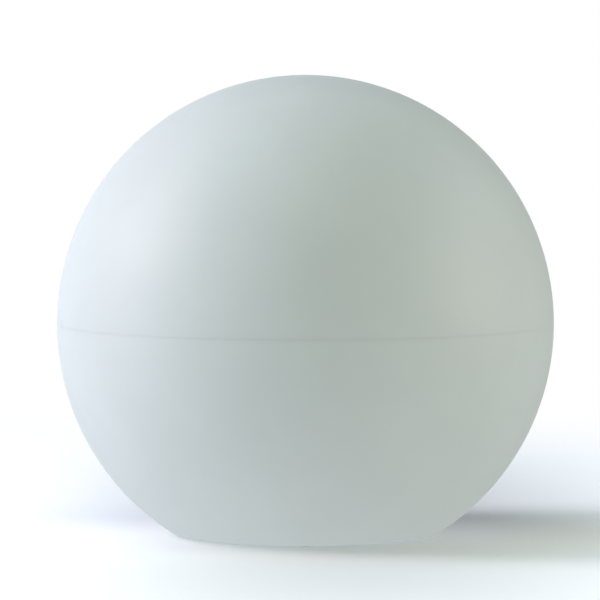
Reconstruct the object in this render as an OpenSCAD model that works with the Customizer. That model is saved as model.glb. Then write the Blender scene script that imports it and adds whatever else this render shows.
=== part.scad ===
// Floating pool light: a flat-bottomed globe that glows on the water or on a table.
// Two half shells meet in a tongue and groove at the equator. The lower shell has a threaded neck
// in its flat, and a sealed light module screws up into it from below. One full turn frees the module.
// Millimetres, +Z up, with the origin on the floor under the middle of the globe.

/* [Globe] */
// Outer diameter of the globe
globe_d = 300; // [290:1:330]
// Diameter of the circle where the sphere would meet the flat
flat_d = 158; // [155:1:176]
// Wall of both half shells
wall = 3; // [2.4:0.1:3.6]
// Rounding between the sphere and the flat
edge_r = 9; // [6:0.5:12]
// Reach of the thick band above and below the seam
rim_h = 9; // [7:0.5:14]
// What that band adds to the wall
rim_t = 3; // [2.6:0.1:5]
// Thickness of the tongue in the seam
tongue_w = 2; // [1.4:0.1:2.4]
// Height of the tongue
tongue_h = 4; // [2.5:0.1:5.5]
// Bevel on each edge of the seam
seam_bevel = 0.3; // [0.2:0.05:0.6]

/* [Feet and ballast] */
// Diameter of each rubber foot
foot_d = 9; // [6:0.5:10]
// Thickness of each rubber foot
foot_t = 2; // [1.6:0.1:2.6]
// How far the feet stand proud of the flat
foot_proud = 0.6; // [0.4:0.1:1]
// Number of feet, and of ballast screws between them
foot_count = 4; // [3:1:6]
// Radial width of the steel ballast ring
ballast_w = 11.5; // [11:0.1:12]
// Height of the steel ballast ring
ballast_h = 10; // [7:0.5:13]

/* [Neck and thread] */
// Bore of the neck
neck_d = 104; // [103.4:0.2:105]
// Wall of the neck
neck_wall = 3; // [2.4:0.1:3.4]
// Height of the neck above its seat
neck_h = 20; // [19:0.5:24]
// Stiffening ribs between the neck and its seat
neck_ribs = 12; // [6:1:18]
// Number of thread starts
thread_starts = 2; // [2:1:3]
// Rise of the thread in one full turn, and so the module's travel
thread_lead = 12; // [12:0.2:13]
// How far each rib stands out from its wall
thread_depth = 1.6; // [1.3:0.1:1.7]
// Height of a rib at its foot
thread_w = 3; // [2.4:0.1:3.1]
// Turn that each rib covers, in degrees
thread_turn = 220; // [180:5:235]
// Gap between a rib's crest and the wall opposite
thread_gap = 0.4; // [0.3:0.05:0.6]

/* [Base plate] */
// Diameter of the base plate
plate_d = 120; // [119:0.2:121]
// Gap between the base plate and the recess round it
plate_gap = 0.8; // [0.5:0.1:1]
// Thickness of the base plate
plate_t = 4; // [3.8:0.1:5]
// How deep the base plate sits inside the globe's flat
plate_inset = 1; // [0.6:0.1:1.4]
// Diameter of the pocket in the base plate
pocket_d = 72; // [71:0.5:73]
// Depth of that pocket
pocket_depth = 8; // [7.6:0.1:9]
// Wall and ceiling of the pocket
pocket_wall = 2.5; // [2.2:0.1:2.6]
// Section of the neck's sealing ring
seal_d = 3.6; // [3.2:0.1:4]
// Gap between the base plate and its seat
seal_gap = 0.8; // [0.6:0.1:1.2]
// Share of its section that a sealing ring loses when it is squeezed
squeeze = 0.18; // [0.12:0.01:0.22]

/* [Housing] */
// Wall of the module's housing
housing_wall = 2.5; // [2.2:0.1:2.7]
// Thickness of its deck
deck_t = 3; // [2.6:0.1:4]
// Thickness of the flat gaskets
gasket_t = 1; // [0.8:0.1:1.4]
// Number of screws in the base plate
plate_screws = 8; // [8:8:8]
// Depth of the screw bosses
boss_h = 13; // [10:0.5:15]

/* [Lens] */
// Height of the lens above its flange
lens_h = 24; // [20:1:32]
// Wall of the lens
lens_wall = 2; // [1.6:0.1:2.4]
// Width of the lens flange
lens_flange_w = 6; // [5.8:0.1:6.2]
// Thickness of the lens flange
lens_flange_t = 3; // [2.4:0.1:4]
// Number of screws in the lens flange
lens_screws = 4; // [4:4:4]

/* [Light board] */
// Thickness of the aluminium heat spreader
spreader_t = 2; // [1.5:0.1:3]
// Thickness of both circuit boards
board_t = 1.6; // [1:0.2:2]
// Diameter of the light board
led_board_d = 72; // [72:0.5:74]
// LEDs on the outer ring
outer_leds = 12; // [8:1:16]
// LEDs on the inner ring
inner_leds = 6; // [4:1:8]
// Side of an LED package
led_w = 5; // [3.5:0.1:5.4]
// Height of an LED package
led_t = 1.5; // [1.2:0.1:2]
// Thickness of the white reflector sheet
reflector_t = 0.8; // [0.5:0.1:1.1]

/* [Battery] */
// Diameter of a cell
cell_d = 18.4; // [17.8:0.1:18.6]
// Length of a cell
cell_l = 65; // [63:0.5:65.5]
// Gap between cells
cell_gap = 0.6; // [0.4:0.1:0.8]
// Wall of the cradle that holds the cells
cradle_wall = 1.6; // [1.4:0.1:1.8]
// Thickness of the foam over the cells
foam_t = 3; // [2:0.2:5]
// Thickness of the welded strips on the cell ends
strip_t = 0.3; // [0.2:0.05:0.4]

/* [Control board] */
// Diameter of the control board
board_d = 86; // [84:0.5:88]
// Height kept free above the board for its components
component_h = 5.5; // [5:0.1:8]
// Body height of the push switch
switch_h = 4; // [3.5:0.1:5]

/* [Button] */
// Diameter of the button
button_d = 16; // [14:0.5:17]
// How far the button moves
button_travel = 1.2; // [0.8:0.1:1.4]
// How far the button stands out of the pocket ceiling
button_proud = 1.5; // [1.2:0.1:1.8]
// Thickness of the button's cap
cap_t = 3.5; // [3:0.1:4]
// Diameter of the button's stem
stem_d = 5; // [4.6:0.2:5.4]
// Length of the return spring when the button is out
spring_l = 4; // [3.8:0.1:5]
// Wire of the return spring
spring_wire = 0.6; // [0.5:0.05:0.65]
// Turns of the return spring
spring_turns = 3.5; // [3:0.5:3.5]
// Length of the bore that guides the stem
guide_l = 4; // [4:0.1:5]
// Section of the ring that seals the stem
stem_seal_d = 1.5; // [1.2:0.1:1.5]

/* [Hanging bail] */
// Wire of the hanging bail
wire_d = 4; // [3:0.1:4.2]
// Centreline radius of its round end
bail_r = 26; // [25:0.5:26.5]
// Centreline radius of its two bends
bend_r = 4; // [3.5:0.1:4.5]
// Straight leg between a bend and the round end
leg_l = 2; // [1:0.5:3]
// Length of each pivot end
pivot_l = 9; // [8:0.2:9.6]
// Radial clearance of the pivot ends
pivot_play = 0.06; // [0.04:0.01:0.08]
// Swing at which the bail meets its stops, in degrees
bail_swing = 120; // [105:5:130]

/* [Charging port] */
// Width of the port's door
door_w = 21; // [20:0.5:23]
// Length of the door from its hinge side
door_l = 14; // [13:0.2:14.4]
// Thickness of the door
door_t = 2; // [1.6:0.1:2.4]
// Diameter of the hinge pin
pin_d = 2; // [1.6:0.1:2.2]
// Width of the socket's metal nose
nose_w = 9; // [8.8:0.1:9.4]
// Thickness of that nose
nose_t = 3.2; // [3.1:0.05:3.4]

/* [Fits] */
// Radial clearance of screws in their holes
screw_play = 0.08; // [0.04:0.01:0.15]
// Clearance between fixed pieces that slide together
fit_gap = 0.2; // [0.15:0.05:0.3]
// Clearance round pieces that move
run_gap = 0.3; // [0.2:0.05:0.4]
// Diameter of the larger screws
screw_d = 3; // [2.6:0.1:3.2]
// Diameter of the smaller screws
small_screw_d = 2.5; // [2:0.1:2.6]

/* [Hidden] */
$fn = 96;
eps = 0.01;

// Globe
globe_r = globe_d / 2;
flat_r = flat_d / 2;
base_z = foot_proud;
centre_z = base_z + sqrt(globe_r * globe_r - flat_r * flat_r);
rim_r = globe_r - wall - rim_t;
tongue_r = (rim_r + globe_r) / 2;
tongue_gap = fit_gap / 2;
bead_z = 3;
floor_edge_r = sqrt(pow(globe_r - edge_r, 2) - pow(centre_z - base_z - edge_r, 2));

// Stack of the module, from the floor up
plate_z = base_z + plate_inset;
plate_top = plate_z + plate_t;
seat_z = plate_top + seal_gap;
neck_top = seat_z + neck_h;
pocket_z = plate_z + pocket_depth;
ceiling_top = pocket_z + pocket_wall;
housing_z = plate_top + gasket_t;
cap_z = pocket_z - button_proud;
cap_top = cap_z + cap_t;
guide_z = cap_top + spring_l;
guide_top = guide_z + guide_l;
clip_t = 0.6;
clip_z = guide_top + fit_gap / 2;
stem_top = clip_z + clip_t + 1;
plunger_h = button_travel + 0.6;
board_z = stem_top + plunger_h + switch_h;
board_top = board_z + board_t;
cradle_z = board_top + component_h;
cell_z = cradle_z + cradle_wall + cell_d / 2;
foam_z = cell_z + cell_d / 2;
deck_z = foam_z + foam_t;
deck_top = deck_z + deck_t;
lens_z = deck_top + gasket_t;

// Radii of the module
plate_r = plate_d / 2;
recess_r = plate_r + plate_gap;
neck_r = neck_d / 2;
housing_r = neck_r - thread_depth - thread_gap;
housing_in_r = housing_r - housing_wall;
pocket_r = pocket_d / 2;
seal_r = (neck_r + recess_r) / 2;
seal_h = seal_d * (1 - squeeze);
groove_depth = seal_h - seal_gap;
groove_w = seal_d * (1 + squeeze) + fit_gap;

// Thread
thread_z = seat_z + 5.5;
rib_root = 0.6;
crest_w = thread_w * 0.6;
rib_steps = 44;
half_pitch_turn = 180 / thread_starts;

// Screws and their bosses
screw_r = screw_d / 2;
small_screw_r = small_screw_d / 2;
boss_wall = 2.4;
boss_r = screw_r + boss_wall;
small_boss_r = small_screw_r + boss_wall - 0.2;
head_h = 1.8;
head_rim = 1.3;
small_head_rim = 1;
wide_head_rim = 3;
screw_grip = 7;
small_screw_grip = 5;
light_screw_grip = 4;
hole_run_out = 2;
plate_screw_r = housing_in_r - boss_r + 0.5;
plate_screw_l = plate_t + gasket_t + screw_grip;
plate_screw_start = 180 / plate_screws;

// Ballast and feet
ballast_out_r = floor_edge_r - fit_gap;
ballast_r = ballast_out_r - ballast_w / 2;
ballast_z = base_z + wall;
ballast_boss_r = screw_r + 1.8;
ballast_head_r = screw_r + wide_head_rim;
foot_r = foot_d / 2;
foot_pocket_r = foot_r + fit_gap;
foot_ring_r = (recess_r + flat_r - edge_r / 2) / 2;
foot_step = 360 / foot_count;

// Lens
lens_r = housing_r;
lens_in_r = lens_r - lens_flange_w;
lens_screw_r = (lens_r + lens_in_r) / 2;
lens_boss_r = small_boss_r;
lens_boss_h = 7;
dome_in_r = lens_in_r - 3;
dome_r = (dome_in_r * dome_in_r + lens_h * lens_h) / (2 * lens_h);

// Light board
led_board_r = led_board_d / 2;
spreader_r = led_board_r + 1;
spreader_z = deck_top;
led_board_z = spreader_z + spreader_t;
led_z = led_board_z + board_t;
outer_led_r = led_board_r - led_w / 2 - 4.5;
inner_led_r = outer_led_r / 2;
light_screw_y = led_board_r - 4;
light_boss_h = foam_t + 2;
grommet_r = 2.6;
grommet_lip = 1.2;
grommet_pos = polar(dome_in_r - grommet_r - grommet_lip - run_gap, -11);

// Battery
cell_r = cell_d / 2;
cell_pitch = cell_d + cell_gap;
cell_count = 3;
terminal_l = 1;
end_space = strip_t + fit_gap;
cradle_in_l = cell_l + 2 * end_space;
cradle_l = cradle_in_l + 2 * cradle_wall;
cradle_in_w = cell_count * cell_pitch;
cradle_w = cradle_in_w + 2 * cradle_wall;
cradle_top = cell_z + 2;
saddle_t = 3;
ear_t = 2.6;
post_x = 14;
post_pos = [post_x, sqrt(pow(housing_in_r - boss_r - fit_gap, 2) - post_x * post_x)];
strip_w = 7;

// Control board
board_r = board_d / 2;
notch_r = 4;
standoff_pos = [26, 18];
standoff_r = small_boss_r;
plug_size = [7, 6, 4];
power_plug = [24, 8];
light_plug = [22, grommet_pos.y];
// Packages as [centre x, centre y, width, length, height]
packages = [[-8, 4, 9, 9, 1.2], [10, 10, 6, 5, 1.5], [12, -4, 5, 4, 1.2], [-10, -14, 7, 7, 3.5]];
// Capacitors as [centre x, centre y, radius, height]
capacitors = [[0, -12, 3.2, 4.5], [17, 12, 2.6, 4.5]];
chip_size = [2, 1.2, 0.9];
chip_step = 4;
first_chips = [-18, 19];
second_chips = [2, -20];
lead_h = 2.2;
power_lead_d = 1.8;
light_lead_d = 2.2;
lead_space = 0.8;
lead_side = 0.5;

// Button
button_pos = [0, 12];
button_r = button_d / 2;
stem_r = stem_d / 2;
well_r = button_r + run_gap;
well_wall = 2.2;
guide_r = stem_r + 0.05;
stem_groove_r = guide_r - stem_seal_d * (1 - squeeze);
stem_seal_z = guide_z + run_gap;
stem_seal_h = stem_seal_d * (1 + squeeze / 2);
clip_r = stem_r + 2;
dish_r = 30;
dish_depth = 0.5;
switch_w = 12;
plunger_r = 2;
spring_r = stem_r + 1.6;

// Bail
wire_r = wire_d / 2;
bail_z = plate_z + wire_r + 2;
pivot_bore_r = wire_r + pivot_play;
pivot_end = bail_r + bend_r + pivot_l;
pivot_block_w = wire_d + 6;
bail_drop = leg_l + bend_r;
stop_l = 4;
stop_y = (wire_r + run_gap - (bail_z - plate_z) * cos(bail_swing)) / sin(bail_swing);

// Charging port
port_pos = [0, -18];
seal_pad_t = 1;
door_top = pocket_z - seal_pad_t;
door_z = door_top - door_t;
door_back = port_pos.y - door_l / 2;
pin_r = pin_d / 2;
knuckle_r = pin_r + 0.9;
hinge_z = pocket_z - knuckle_r - run_gap;
hinge_y = door_back - knuckle_r - run_gap;
knuckle_w = door_w * 0.55;
lug_w = 3;
lug_r = knuckle_r + 0.2;
mouth_w = nose_w + 4;
mouth_t = nose_t + 4;
mouth_depth = 1.1;
socket_flange_w = 24;
socket_flange_l = 9;
socket_flange_t = 2;
socket_block_w = nose_w + 4;
socket_block_l = nose_t + 4;
socket_screw_x = 9;
socket_z = ceiling_top + gasket_t;
socket_top = board_z;
tiny_screw_r = 0.9;
tiny_screw_grip = 1.2;

// Colours
glow_white = [0.86, 0.89, 0.88];
body_white = [0.90, 0.91, 0.90];
rubber_grey = [0.22, 0.23, 0.24];
steel = [0.72, 0.73, 0.75];
silicone = [0.55, 0.60, 0.63];

// ---------------------------------------------------------------- helpers

function unit(v) = v / norm(v);
function polar(r, a) = [r * cos(a), r * sin(a)];

// Copies round the Z axis, each moved out by r.
module around(count, r, start = 0) {
    for (i = [0 : count - 1])
        rotate([0, 0, start + i * 360 / count]) translate([r, 0, 0]) children();
}

// Copies at the four corners of a rectangle with half sides p.
module corners(p) {
    for (x = [-1, 1], y = [-1, 1]) translate([x * p.x, y * p.y, 0]) children();
}

module ring(r_out, r_in, h) {
    difference() {
        cylinder(r = r_out, h = h);
        translate([0, 0, -eps]) cylinder(r = r_in, h = h + 2 * eps);
    }
}

// Slot shape: a bar with round ends, w wide over all.
module slot_2d(w, t) {
    square([w - t, t], center = true);
    for (side = [-1, 1]) translate([side * (w - t) / 2, 0]) circle(t / 2);
}

// Rectangle with rounded corners, made of true arcs.
module rounded_2d(w, l, r) {
    square([w - 2 * r, l], center = true);
    square([w, l - 2 * r], center = true);
    for (x = [-1, 1], y = [-1, 1]) translate([x * (w / 2 - r), y * (l / 2 - r)]) circle(r);
}

// Squeezed sealing ring: a slot section turned round the Z axis.
module sealing_ring(r, w, h) {
    rotate_extrude() translate([r, h / 2]) slot_2d(w, min(h, w - 0.1));
}

// Screw with its head's underside at z = 0 and its shank going down.
module cap_screw(r, l, head_r, head_h = head_h) {
    translate([0, 0, -l]) cylinder(r = r, h = l);
    difference() {
        cylinder(r = head_r, h = head_h);
        translate([0, 0, head_h * 0.4]) cylinder(r = r * 0.9, h = head_h, $fn = 6);
    }
}

// Countersunk screw, flush at z = 0 and going up.
module sunk_screw(r, l) {
    difference() {
        union() {
            cylinder(r1 = 2 * r, r2 = r, h = r);
            cylinder(r = r, h = l);
        }
        translate([0, 0, -eps]) cylinder(r = r * 0.8, h = r * 0.8, $fn = 6);
    }
}

// Hole for a cap screw's shank.
module screw_hole(r, h) {
    cylinder(r = r + screw_play, h = h);
}

// Round wire along a path. No stretch of the path may run along the reference direction.
module wire_along(path, d, ref, sides = 8) {
    last = len(path) - 1;
    function heading(i) = unit(path[min(i + 1, last)] - path[max(i - 1, 0)]);
    points = [
        for (i = [0 : last])
            let (t = heading(i), u = unit(cross(t, ref)), v = cross(t, u))
            for (k = [0 : sides - 1])
                path[i] + d / 2 * (cos(360 * k / sides) * u + sin(360 * k / sides) * v)
    ];
    walls = [
        for (i = [0 : last - 1], k = [0 : sides - 1])
            let (a = i * sides + k, b = i * sides + (k + 1) % sides)
            each [[a, a + sides, b], [b, a + sides, b + sides]]
    ];
    polyhedron(points, concat(
        [[for (k = [0 : sides - 1]) k]],
        walls,
        [[for (k = [sides - 1 : -1 : 0]) last * sides + k]]
    ));
}

// Smooth curve through hand-picked points, with a number of steps between neighbours.
function curve(p, steps) = concat(
    [
        for (i = [0 : len(p) - 2], s = [0 : steps - 1])
            let (
                t = s / steps,
                before = p[max(i - 1, 0)],
                here = p[i],
                next = p[i + 1],
                after = p[min(i + 2, len(p) - 1)]
            )
            here + t * (next - before) / 2
                + t * t * (2 * before - 5 * here + 4 * next - after) / 2
                + t * t * t * (3 * here - before - 3 * next + after) / 2
    ],
    [p[len(p) - 1]]
);

// ---------------------------------------------------------------- thread

// One rib of the thread: a trapezoid swept up a right-hand helix, fading into its wall at both ends.
// The wall is at wall_r, and the crest at crest_r on either side of it.
module helical_rib(wall_r, crest_r, start) {
    way = sign(crest_r - wall_r);
    root_r = wall_r - way * rib_root;
    fade = 4;
    function share(i) = min(1, i / fade, (rib_steps - i) / fade);
    points = [
        for (i = [0 : rib_steps])
            let (
                a = start + thread_turn * i / rib_steps,
                z = thread_z + thread_lead * thread_turn / 360 * i / rib_steps,
                r = wall_r - way * rib_root / 3 + (crest_r - wall_r + way * rib_root / 3) * share(i)
            )
            each [
                concat(polar(root_r, a), z - thread_w / 2),
                concat(polar(r, a), z - crest_w / 2),
                concat(polar(r, a), z + crest_w / 2),
                concat(polar(root_r, a), z + thread_w / 2)
            ]
    ];
    walls = [
        for (i = [0 : rib_steps - 1], k = [0 : 3])
            let (a = 4 * i + k, b = 4 * i + (k + 1) % 4)
            each (way > 0
                ? [[a, b, a + 4], [b, b + 4, a + 4]]
                : [[a, a + 4, b], [b, a + 4, b + 4]])
    ];
    last = 4 * rib_steps;
    ends = way > 0
        ? [[3, 2, 1, 0], [last, last + 1, last + 2, last + 3]]
        : [[0, 1, 2, 3], [last + 3, last + 2, last + 1, last]];
    polyhedron(points, concat(walls, ends));
}

module thread(wall_r, crest_r, start) {
    for (i = [0 : thread_starts - 1])
        helical_rib(wall_r, crest_r, start + i * 360 / thread_starts);
}

// ---------------------------------------------------------------- globe

// Half outline of the globe, drawn inset from its outer face. X is the radius and Y the height.
module globe_outline(inset) {
    r = globe_r - inset;
    floor_y = base_z + inset;
    round_c = [floor_edge_r, base_z + edge_r];
    out = unit(round_c - [0, centre_z]) * 2 * edge_r;
    difference() {
        translate([0, centre_z]) circle(r);
        translate([-globe_d, floor_y - globe_d]) square([2 * globe_d, globe_d]);
        translate([-2 * globe_d, 0]) square([2 * globe_d, 2 * globe_d]);
        difference() {
            polygon([
                round_c,
                round_c + out,
                round_c + [out.x, -2 * edge_r],
                round_c + [0, -2 * edge_r]
            ]);
            translate(round_c) circle(edge_r - inset);
        }
    }
}

// Wall of the whole globe, with the thick band inside its seam.
module globe_wall() {
    difference() {
        globe_outline(0);
        difference() {
            globe_outline(wall);
            translate([rim_r, centre_z - rim_h]) square([globe_r, 2 * rim_h]);
            polygon([
                [rim_r, centre_z + rim_h],
                [globe_r, centre_z + rim_h],
                [globe_r, centre_z + rim_h + bead_z],
                [rim_r + rim_t, centre_z + rim_h + bead_z]
            ]);
            polygon([
                [rim_r, centre_z - rim_h],
                [globe_r, centre_z - rim_h],
                [globe_r, centre_z - rim_h - bead_z],
                [rim_r + rim_t, centre_z - rim_h - bead_z]
            ]);
        }
    }
}

// Bevel that both shells have on the outer edge of the seam.
module seam_bevel_2d() {
    polygon([
        [globe_r - seam_bevel, centre_z],
        [globe_r + 1, centre_z - seam_bevel - 1],
        [globe_r + 1, centre_z + seam_bevel + 1]
    ]);
}

module tongue_2d(play) {
    translate([tongue_r - tongue_w / 2 - play, centre_z - eps])
        square([tongue_w + 2 * play, tongue_h + play + eps]);
}

module upper_shell() {
    color(glow_white) rotate_extrude() difference() {
        globe_wall();
        translate([-eps, 0]) square([globe_d, centre_z]);
        tongue_2d(tongue_gap);
        seam_bevel_2d();
    }
}

module lower_shell_profile() {
    difference() {
        union() {
            globe_wall();
            translate([neck_r, base_z]) square([recess_r + wall - neck_r, seat_z + wall - base_z]);
            translate([neck_r, seat_z]) square([neck_wall, neck_h]);
        }
        translate([-eps, centre_z]) square([globe_d, globe_d]);
        translate([-eps, 0]) square([recess_r, seat_z]);
        translate([-eps, 0]) square([neck_r, neck_top]);
        seam_bevel_2d();
    }
    tongue_2d(0);
}

// Stiffening rib between the neck and its seat.
module neck_rib() {
    foot = recess_r + wall - neck_r - neck_wall;
    rotate([90, 0, 0]) linear_extrude(2, center = true)
        polygon([
            [neck_r + neck_wall - 1, seat_z + wall - 1],
            [neck_r + neck_wall + foot - 1, seat_z + wall - 1],
            [neck_r + neck_wall + 1, neck_top - 3],
            [neck_r + neck_wall - 1, neck_top - 3]
        ]);
}

module lower_shell() {
    color(glow_white) difference() {
        union() {
            rotate_extrude() lower_shell_profile();
            for (i = [0 : neck_ribs - 1]) rotate([0, 0, i * 360 / neck_ribs]) neck_rib();
            thread(neck_r, neck_r - thread_depth, 0);
            around(foot_count, ballast_r, foot_step / 2)
                translate([0, 0, ballast_z - 1])
                    cylinder(r = ballast_boss_r, h = ballast_h + 1 - fit_gap);
        }
        around(foot_count, foot_ring_r)
            cylinder(r = foot_pocket_r, h = foot_t);
        around(foot_count, ballast_r, foot_step / 2)
            translate([0, 0, ballast_z + 1]) screw_hole(screw_r, ballast_h);
    }
}

module rubber_feet() {
    color(rubber_grey) around(foot_count, foot_ring_r) {
        translate([0, 0, foot_proud / 2]) cylinder(r = foot_r, h = foot_t - foot_proud / 2);
        cylinder(r1 = foot_r - foot_proud / 2, r2 = foot_r, h = foot_proud / 2);
    }
}

module ballast_ring() {
    color(steel) translate([0, 0, ballast_z]) difference() {
        ring(ballast_out_r, ballast_out_r - ballast_w, ballast_h);
        around(foot_count, ballast_r, foot_step / 2)
            translate([0, 0, -eps]) cylinder(r = ballast_boss_r + fit_gap, h = ballast_h + 2 * eps);
    }
}

module ballast_screws() {
    color(steel) around(foot_count, ballast_r, foot_step / 2)
        translate([0, 0, ballast_z + ballast_h]) cap_screw(screw_r, ballast_h - 2, ballast_head_r);
}

module neck_seal() {
    color(silicone) translate([0, 0, seat_z - seal_h])
        sealing_ring(seal_r, seal_d * (1 + squeeze), seal_h);
}

// ---------------------------------------------------------------- base plate

// Block with a blind bore that takes one pivot end of the bail.
module pivot_block() {
    translate([pocket_r, -pivot_block_w / 2, plate_z])
        cube([pivot_end + 2.5 - pocket_r, pivot_block_w, ceiling_top - plate_z]);
}

// Step on the pocket's wall that one leg of the swung-out bail comes to rest on.
// It is drawn for the side at +X.
module bail_stop() {
    translate([bail_r - wire_r / 2, -stop_y - stop_l, plate_z])
        cube([pocket_r + pocket_wall / 2 - bail_r + wire_r / 2, stop_l, pocket_z + 1 - plate_z]);
}

module hinge_lug() {
    rotate([90, 0, 90]) linear_extrude(lug_w, center = true) difference() {
        union() {
            circle(lug_r);
            translate([-lug_r, 0]) square([2 * lug_r, pocket_z + 1 - hinge_z]);
        }
        circle(pin_r + 0.02);
    }
}

module button_guide() {
    translate([button_pos.x, button_pos.y, pocket_z + 1])
        cylinder(r = well_r + well_wall, h = guide_z + well_wall - pocket_z - 1);
    translate([button_pos.x, button_pos.y, guide_z])
        cylinder(r = stem_r + well_wall, h = guide_l);
}

module base_plate() {
    color(body_white) difference() {
        union() {
            translate([0, 0, plate_z]) cylinder(r1 = plate_r - 0.6, r2 = plate_r, h = 0.6);
            translate([0, 0, plate_z + 0.6]) cylinder(r = plate_r, h = plate_t - 0.6);
            translate([0, 0, plate_z + 1])
                cylinder(r = pocket_r + pocket_wall, h = ceiling_top - plate_z - 1);
            for (side = [0, 180]) rotate([0, 0, side]) pivot_block();
        }
        // Pocket, the button's well and the port's mouth
        translate([0, 0, plate_z - 1]) cylinder(r = pocket_r, h = pocket_depth + 1);
        translate([0, 0, plate_z - 1]) cylinder(r1 = pocket_r + 2, r2 = pocket_r, h = 2);
        translate([button_pos.x, button_pos.y, pocket_z - 1])
            cylinder(r = well_r, h = ceiling_top - pocket_z + 2);
        translate([port_pos.x, port_pos.y, pocket_z - 1])
            linear_extrude(mouth_depth + 1) slot_2d(mouth_w, mouth_t);
        translate([port_pos.x, port_pos.y, pocket_z - 1])
            linear_extrude(pocket_wall + 2) slot_2d(nose_w + 2 * fit_gap, nose_t + 2 * fit_gap);
        // Sealing groove
        translate([0, 0, plate_top - groove_depth])
            ring(seal_r + groove_w / 2, seal_r - groove_w / 2, groove_depth + 1);
        // Pivot bores, from the pocket outwards
        for (side = [90, -90])
            translate([0, 0, bail_z]) rotate([0, side, 0])
                cylinder(r = pivot_bore_r, h = pivot_end + fit_gap);
        // Countersunk screw holes
        around(plate_screws, plate_screw_r, plate_screw_start) {
            translate([0, 0, plate_z - 1]) screw_hole(screw_r, plate_t + 2);
            translate([0, 0, plate_z - eps])
                cylinder(r1 = screw_d + screw_play, r2 = screw_r + screw_play, h = screw_r);
        }
        // Finger scoop at the bail's round end
        translate([0, pocket_r, plate_z - 10]) sphere(r = 12);
        // Screw holes of the socket
        for (side = [-1, 1]) translate([port_pos.x + side * socket_screw_x, port_pos.y, ceiling_top - 1.6])
            screw_hole(tiny_screw_r, 3);
    }
    color(body_white) difference() {
        button_guide();
        translate([button_pos.x, button_pos.y, pocket_z]) cylinder(r = well_r, h = guide_z - pocket_z);
        translate([button_pos.x, button_pos.y, guide_z - 1]) cylinder(r = guide_r, h = guide_l + 2);
    }
    color(body_white) corners(standoff_pos) translate([0, 0, ceiling_top - 1]) difference() {
        cylinder(r = standoff_r, h = board_z - ceiling_top + 1);
        translate([0, 0, board_z - ceiling_top - small_screw_grip - hole_run_out])
            screw_hole(small_screw_r, small_screw_grip + 2 * hole_run_out);
    }
    color(body_white) for (side = [-1, 1])
        translate([side * (knuckle_w / 2 + run_gap + lug_w / 2), hinge_y, hinge_z]) hinge_lug();
    color(body_white) {
        bail_stop();
        mirror([1, 0, 0]) bail_stop();
    }
}

module plate_gasket() {
    color(silicone) translate([0, 0, plate_top]) difference() {
        union() {
            ring(housing_r, housing_in_r - 0.3, gasket_t);
            around(plate_screws, plate_screw_r, plate_screw_start) cylinder(r = boss_r, h = gasket_t);
        }
        around(plate_screws, plate_screw_r, plate_screw_start)
            translate([0, 0, -1]) cylinder(r = screw_r + fit_gap, h = gasket_t + 2);
    }
}

module plate_screw_set() {
    color(steel) around(plate_screws, plate_screw_r, plate_screw_start)
        translate([0, 0, plate_z]) sunk_screw(screw_r, plate_screw_l);
}

// ---------------------------------------------------------------- housing and lens

module housing() {
    color(body_white) difference() {
        union() {
            translate([0, 0, housing_z]) ring(housing_r, housing_in_r, deck_top - housing_z);
            translate([0, 0, deck_z]) cylinder(r = housing_in_r + 1, h = deck_t);
            thread(housing_r, housing_r + thread_depth, half_pitch_turn);
            intersection() {
                around(plate_screws, plate_screw_r, plate_screw_start)
                    translate([0, 0, housing_z]) cylinder(r = boss_r, h = boss_h);
                cylinder(r = housing_r - 1, h = deck_top);
            }
            intersection() {
                around(lens_screws, lens_screw_r) translate([0, 0, deck_z - lens_boss_h])
                    cylinder(r = lens_boss_r, h = lens_boss_h + 1);
                cylinder(r = housing_r - 1, h = deck_top);
            }
            corners(post_pos) translate([0, 0, cradle_z + ear_t])
                cylinder(r = boss_r, h = deck_z + 1 - cradle_z - ear_t);
            for (side = [-1, 1]) translate([0, side * light_screw_y, deck_z - light_boss_h])
                cylinder(r = small_boss_r, h = light_boss_h + 1);
        }
        around(plate_screws, plate_screw_r, plate_screw_start)
            translate([0, 0, housing_z - 1]) screw_hole(screw_r, boss_h - 1);
        around(lens_screws, lens_screw_r) translate([0, 0, deck_top - lens_boss_h - 1])
            screw_hole(small_screw_r, lens_boss_h + 2);
        corners(post_pos) translate([0, 0, cradle_z])
            screw_hole(screw_r, ear_t + screw_grip + hole_run_out);
        for (side = [-1, 1]) translate([0, side * light_screw_y, deck_top - light_boss_h])
            screw_hole(small_screw_r, light_boss_h + 1);
        translate([grommet_pos.x, grommet_pos.y, deck_z - 1]) cylinder(r = grommet_r, h = deck_t + 2);
    }
}

module dome_lens() {
    dome_c = [0, lens_flange_t + lens_h - dome_r];
    color("white", 0.5) difference() {
        translate([0, 0, lens_z]) rotate_extrude() {
            translate([dome_in_r, 0]) square([lens_r - dome_in_r, lens_flange_t]);
            intersection() {
                difference() {
                    translate(dome_c) circle(dome_r + lens_wall);
                    translate(dome_c) circle(dome_r);
                }
                translate([0, lens_flange_t - eps]) square([lens_r, 2 * lens_h]);
            }
        }
        around(lens_screws, lens_screw_r) translate([0, 0, lens_z - 1])
            screw_hole(small_screw_r, lens_flange_t + 2);
    }
}

module lens_gasket() {
    color(silicone) translate([0, 0, deck_top]) difference() {
        ring(lens_r, lens_in_r, gasket_t);
        around(lens_screws, lens_screw_r) translate([0, 0, -1])
            cylinder(r = small_screw_r + fit_gap, h = gasket_t + 2);
    }
}

module lens_screw_set() {
    color(steel) around(lens_screws, lens_screw_r) translate([0, 0, lens_z + lens_flange_t])
        cap_screw(small_screw_r, lens_flange_t + gasket_t + small_screw_grip,
            small_screw_r + small_head_rim);
}

// ---------------------------------------------------------------- light board

// Notch that lets the lead past the board's edge.
module lead_notch(h) {
    translate([grommet_pos.x, grommet_pos.y, -1]) cylinder(r = grommet_r + 1.6, h = h + 2);
}

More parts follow.
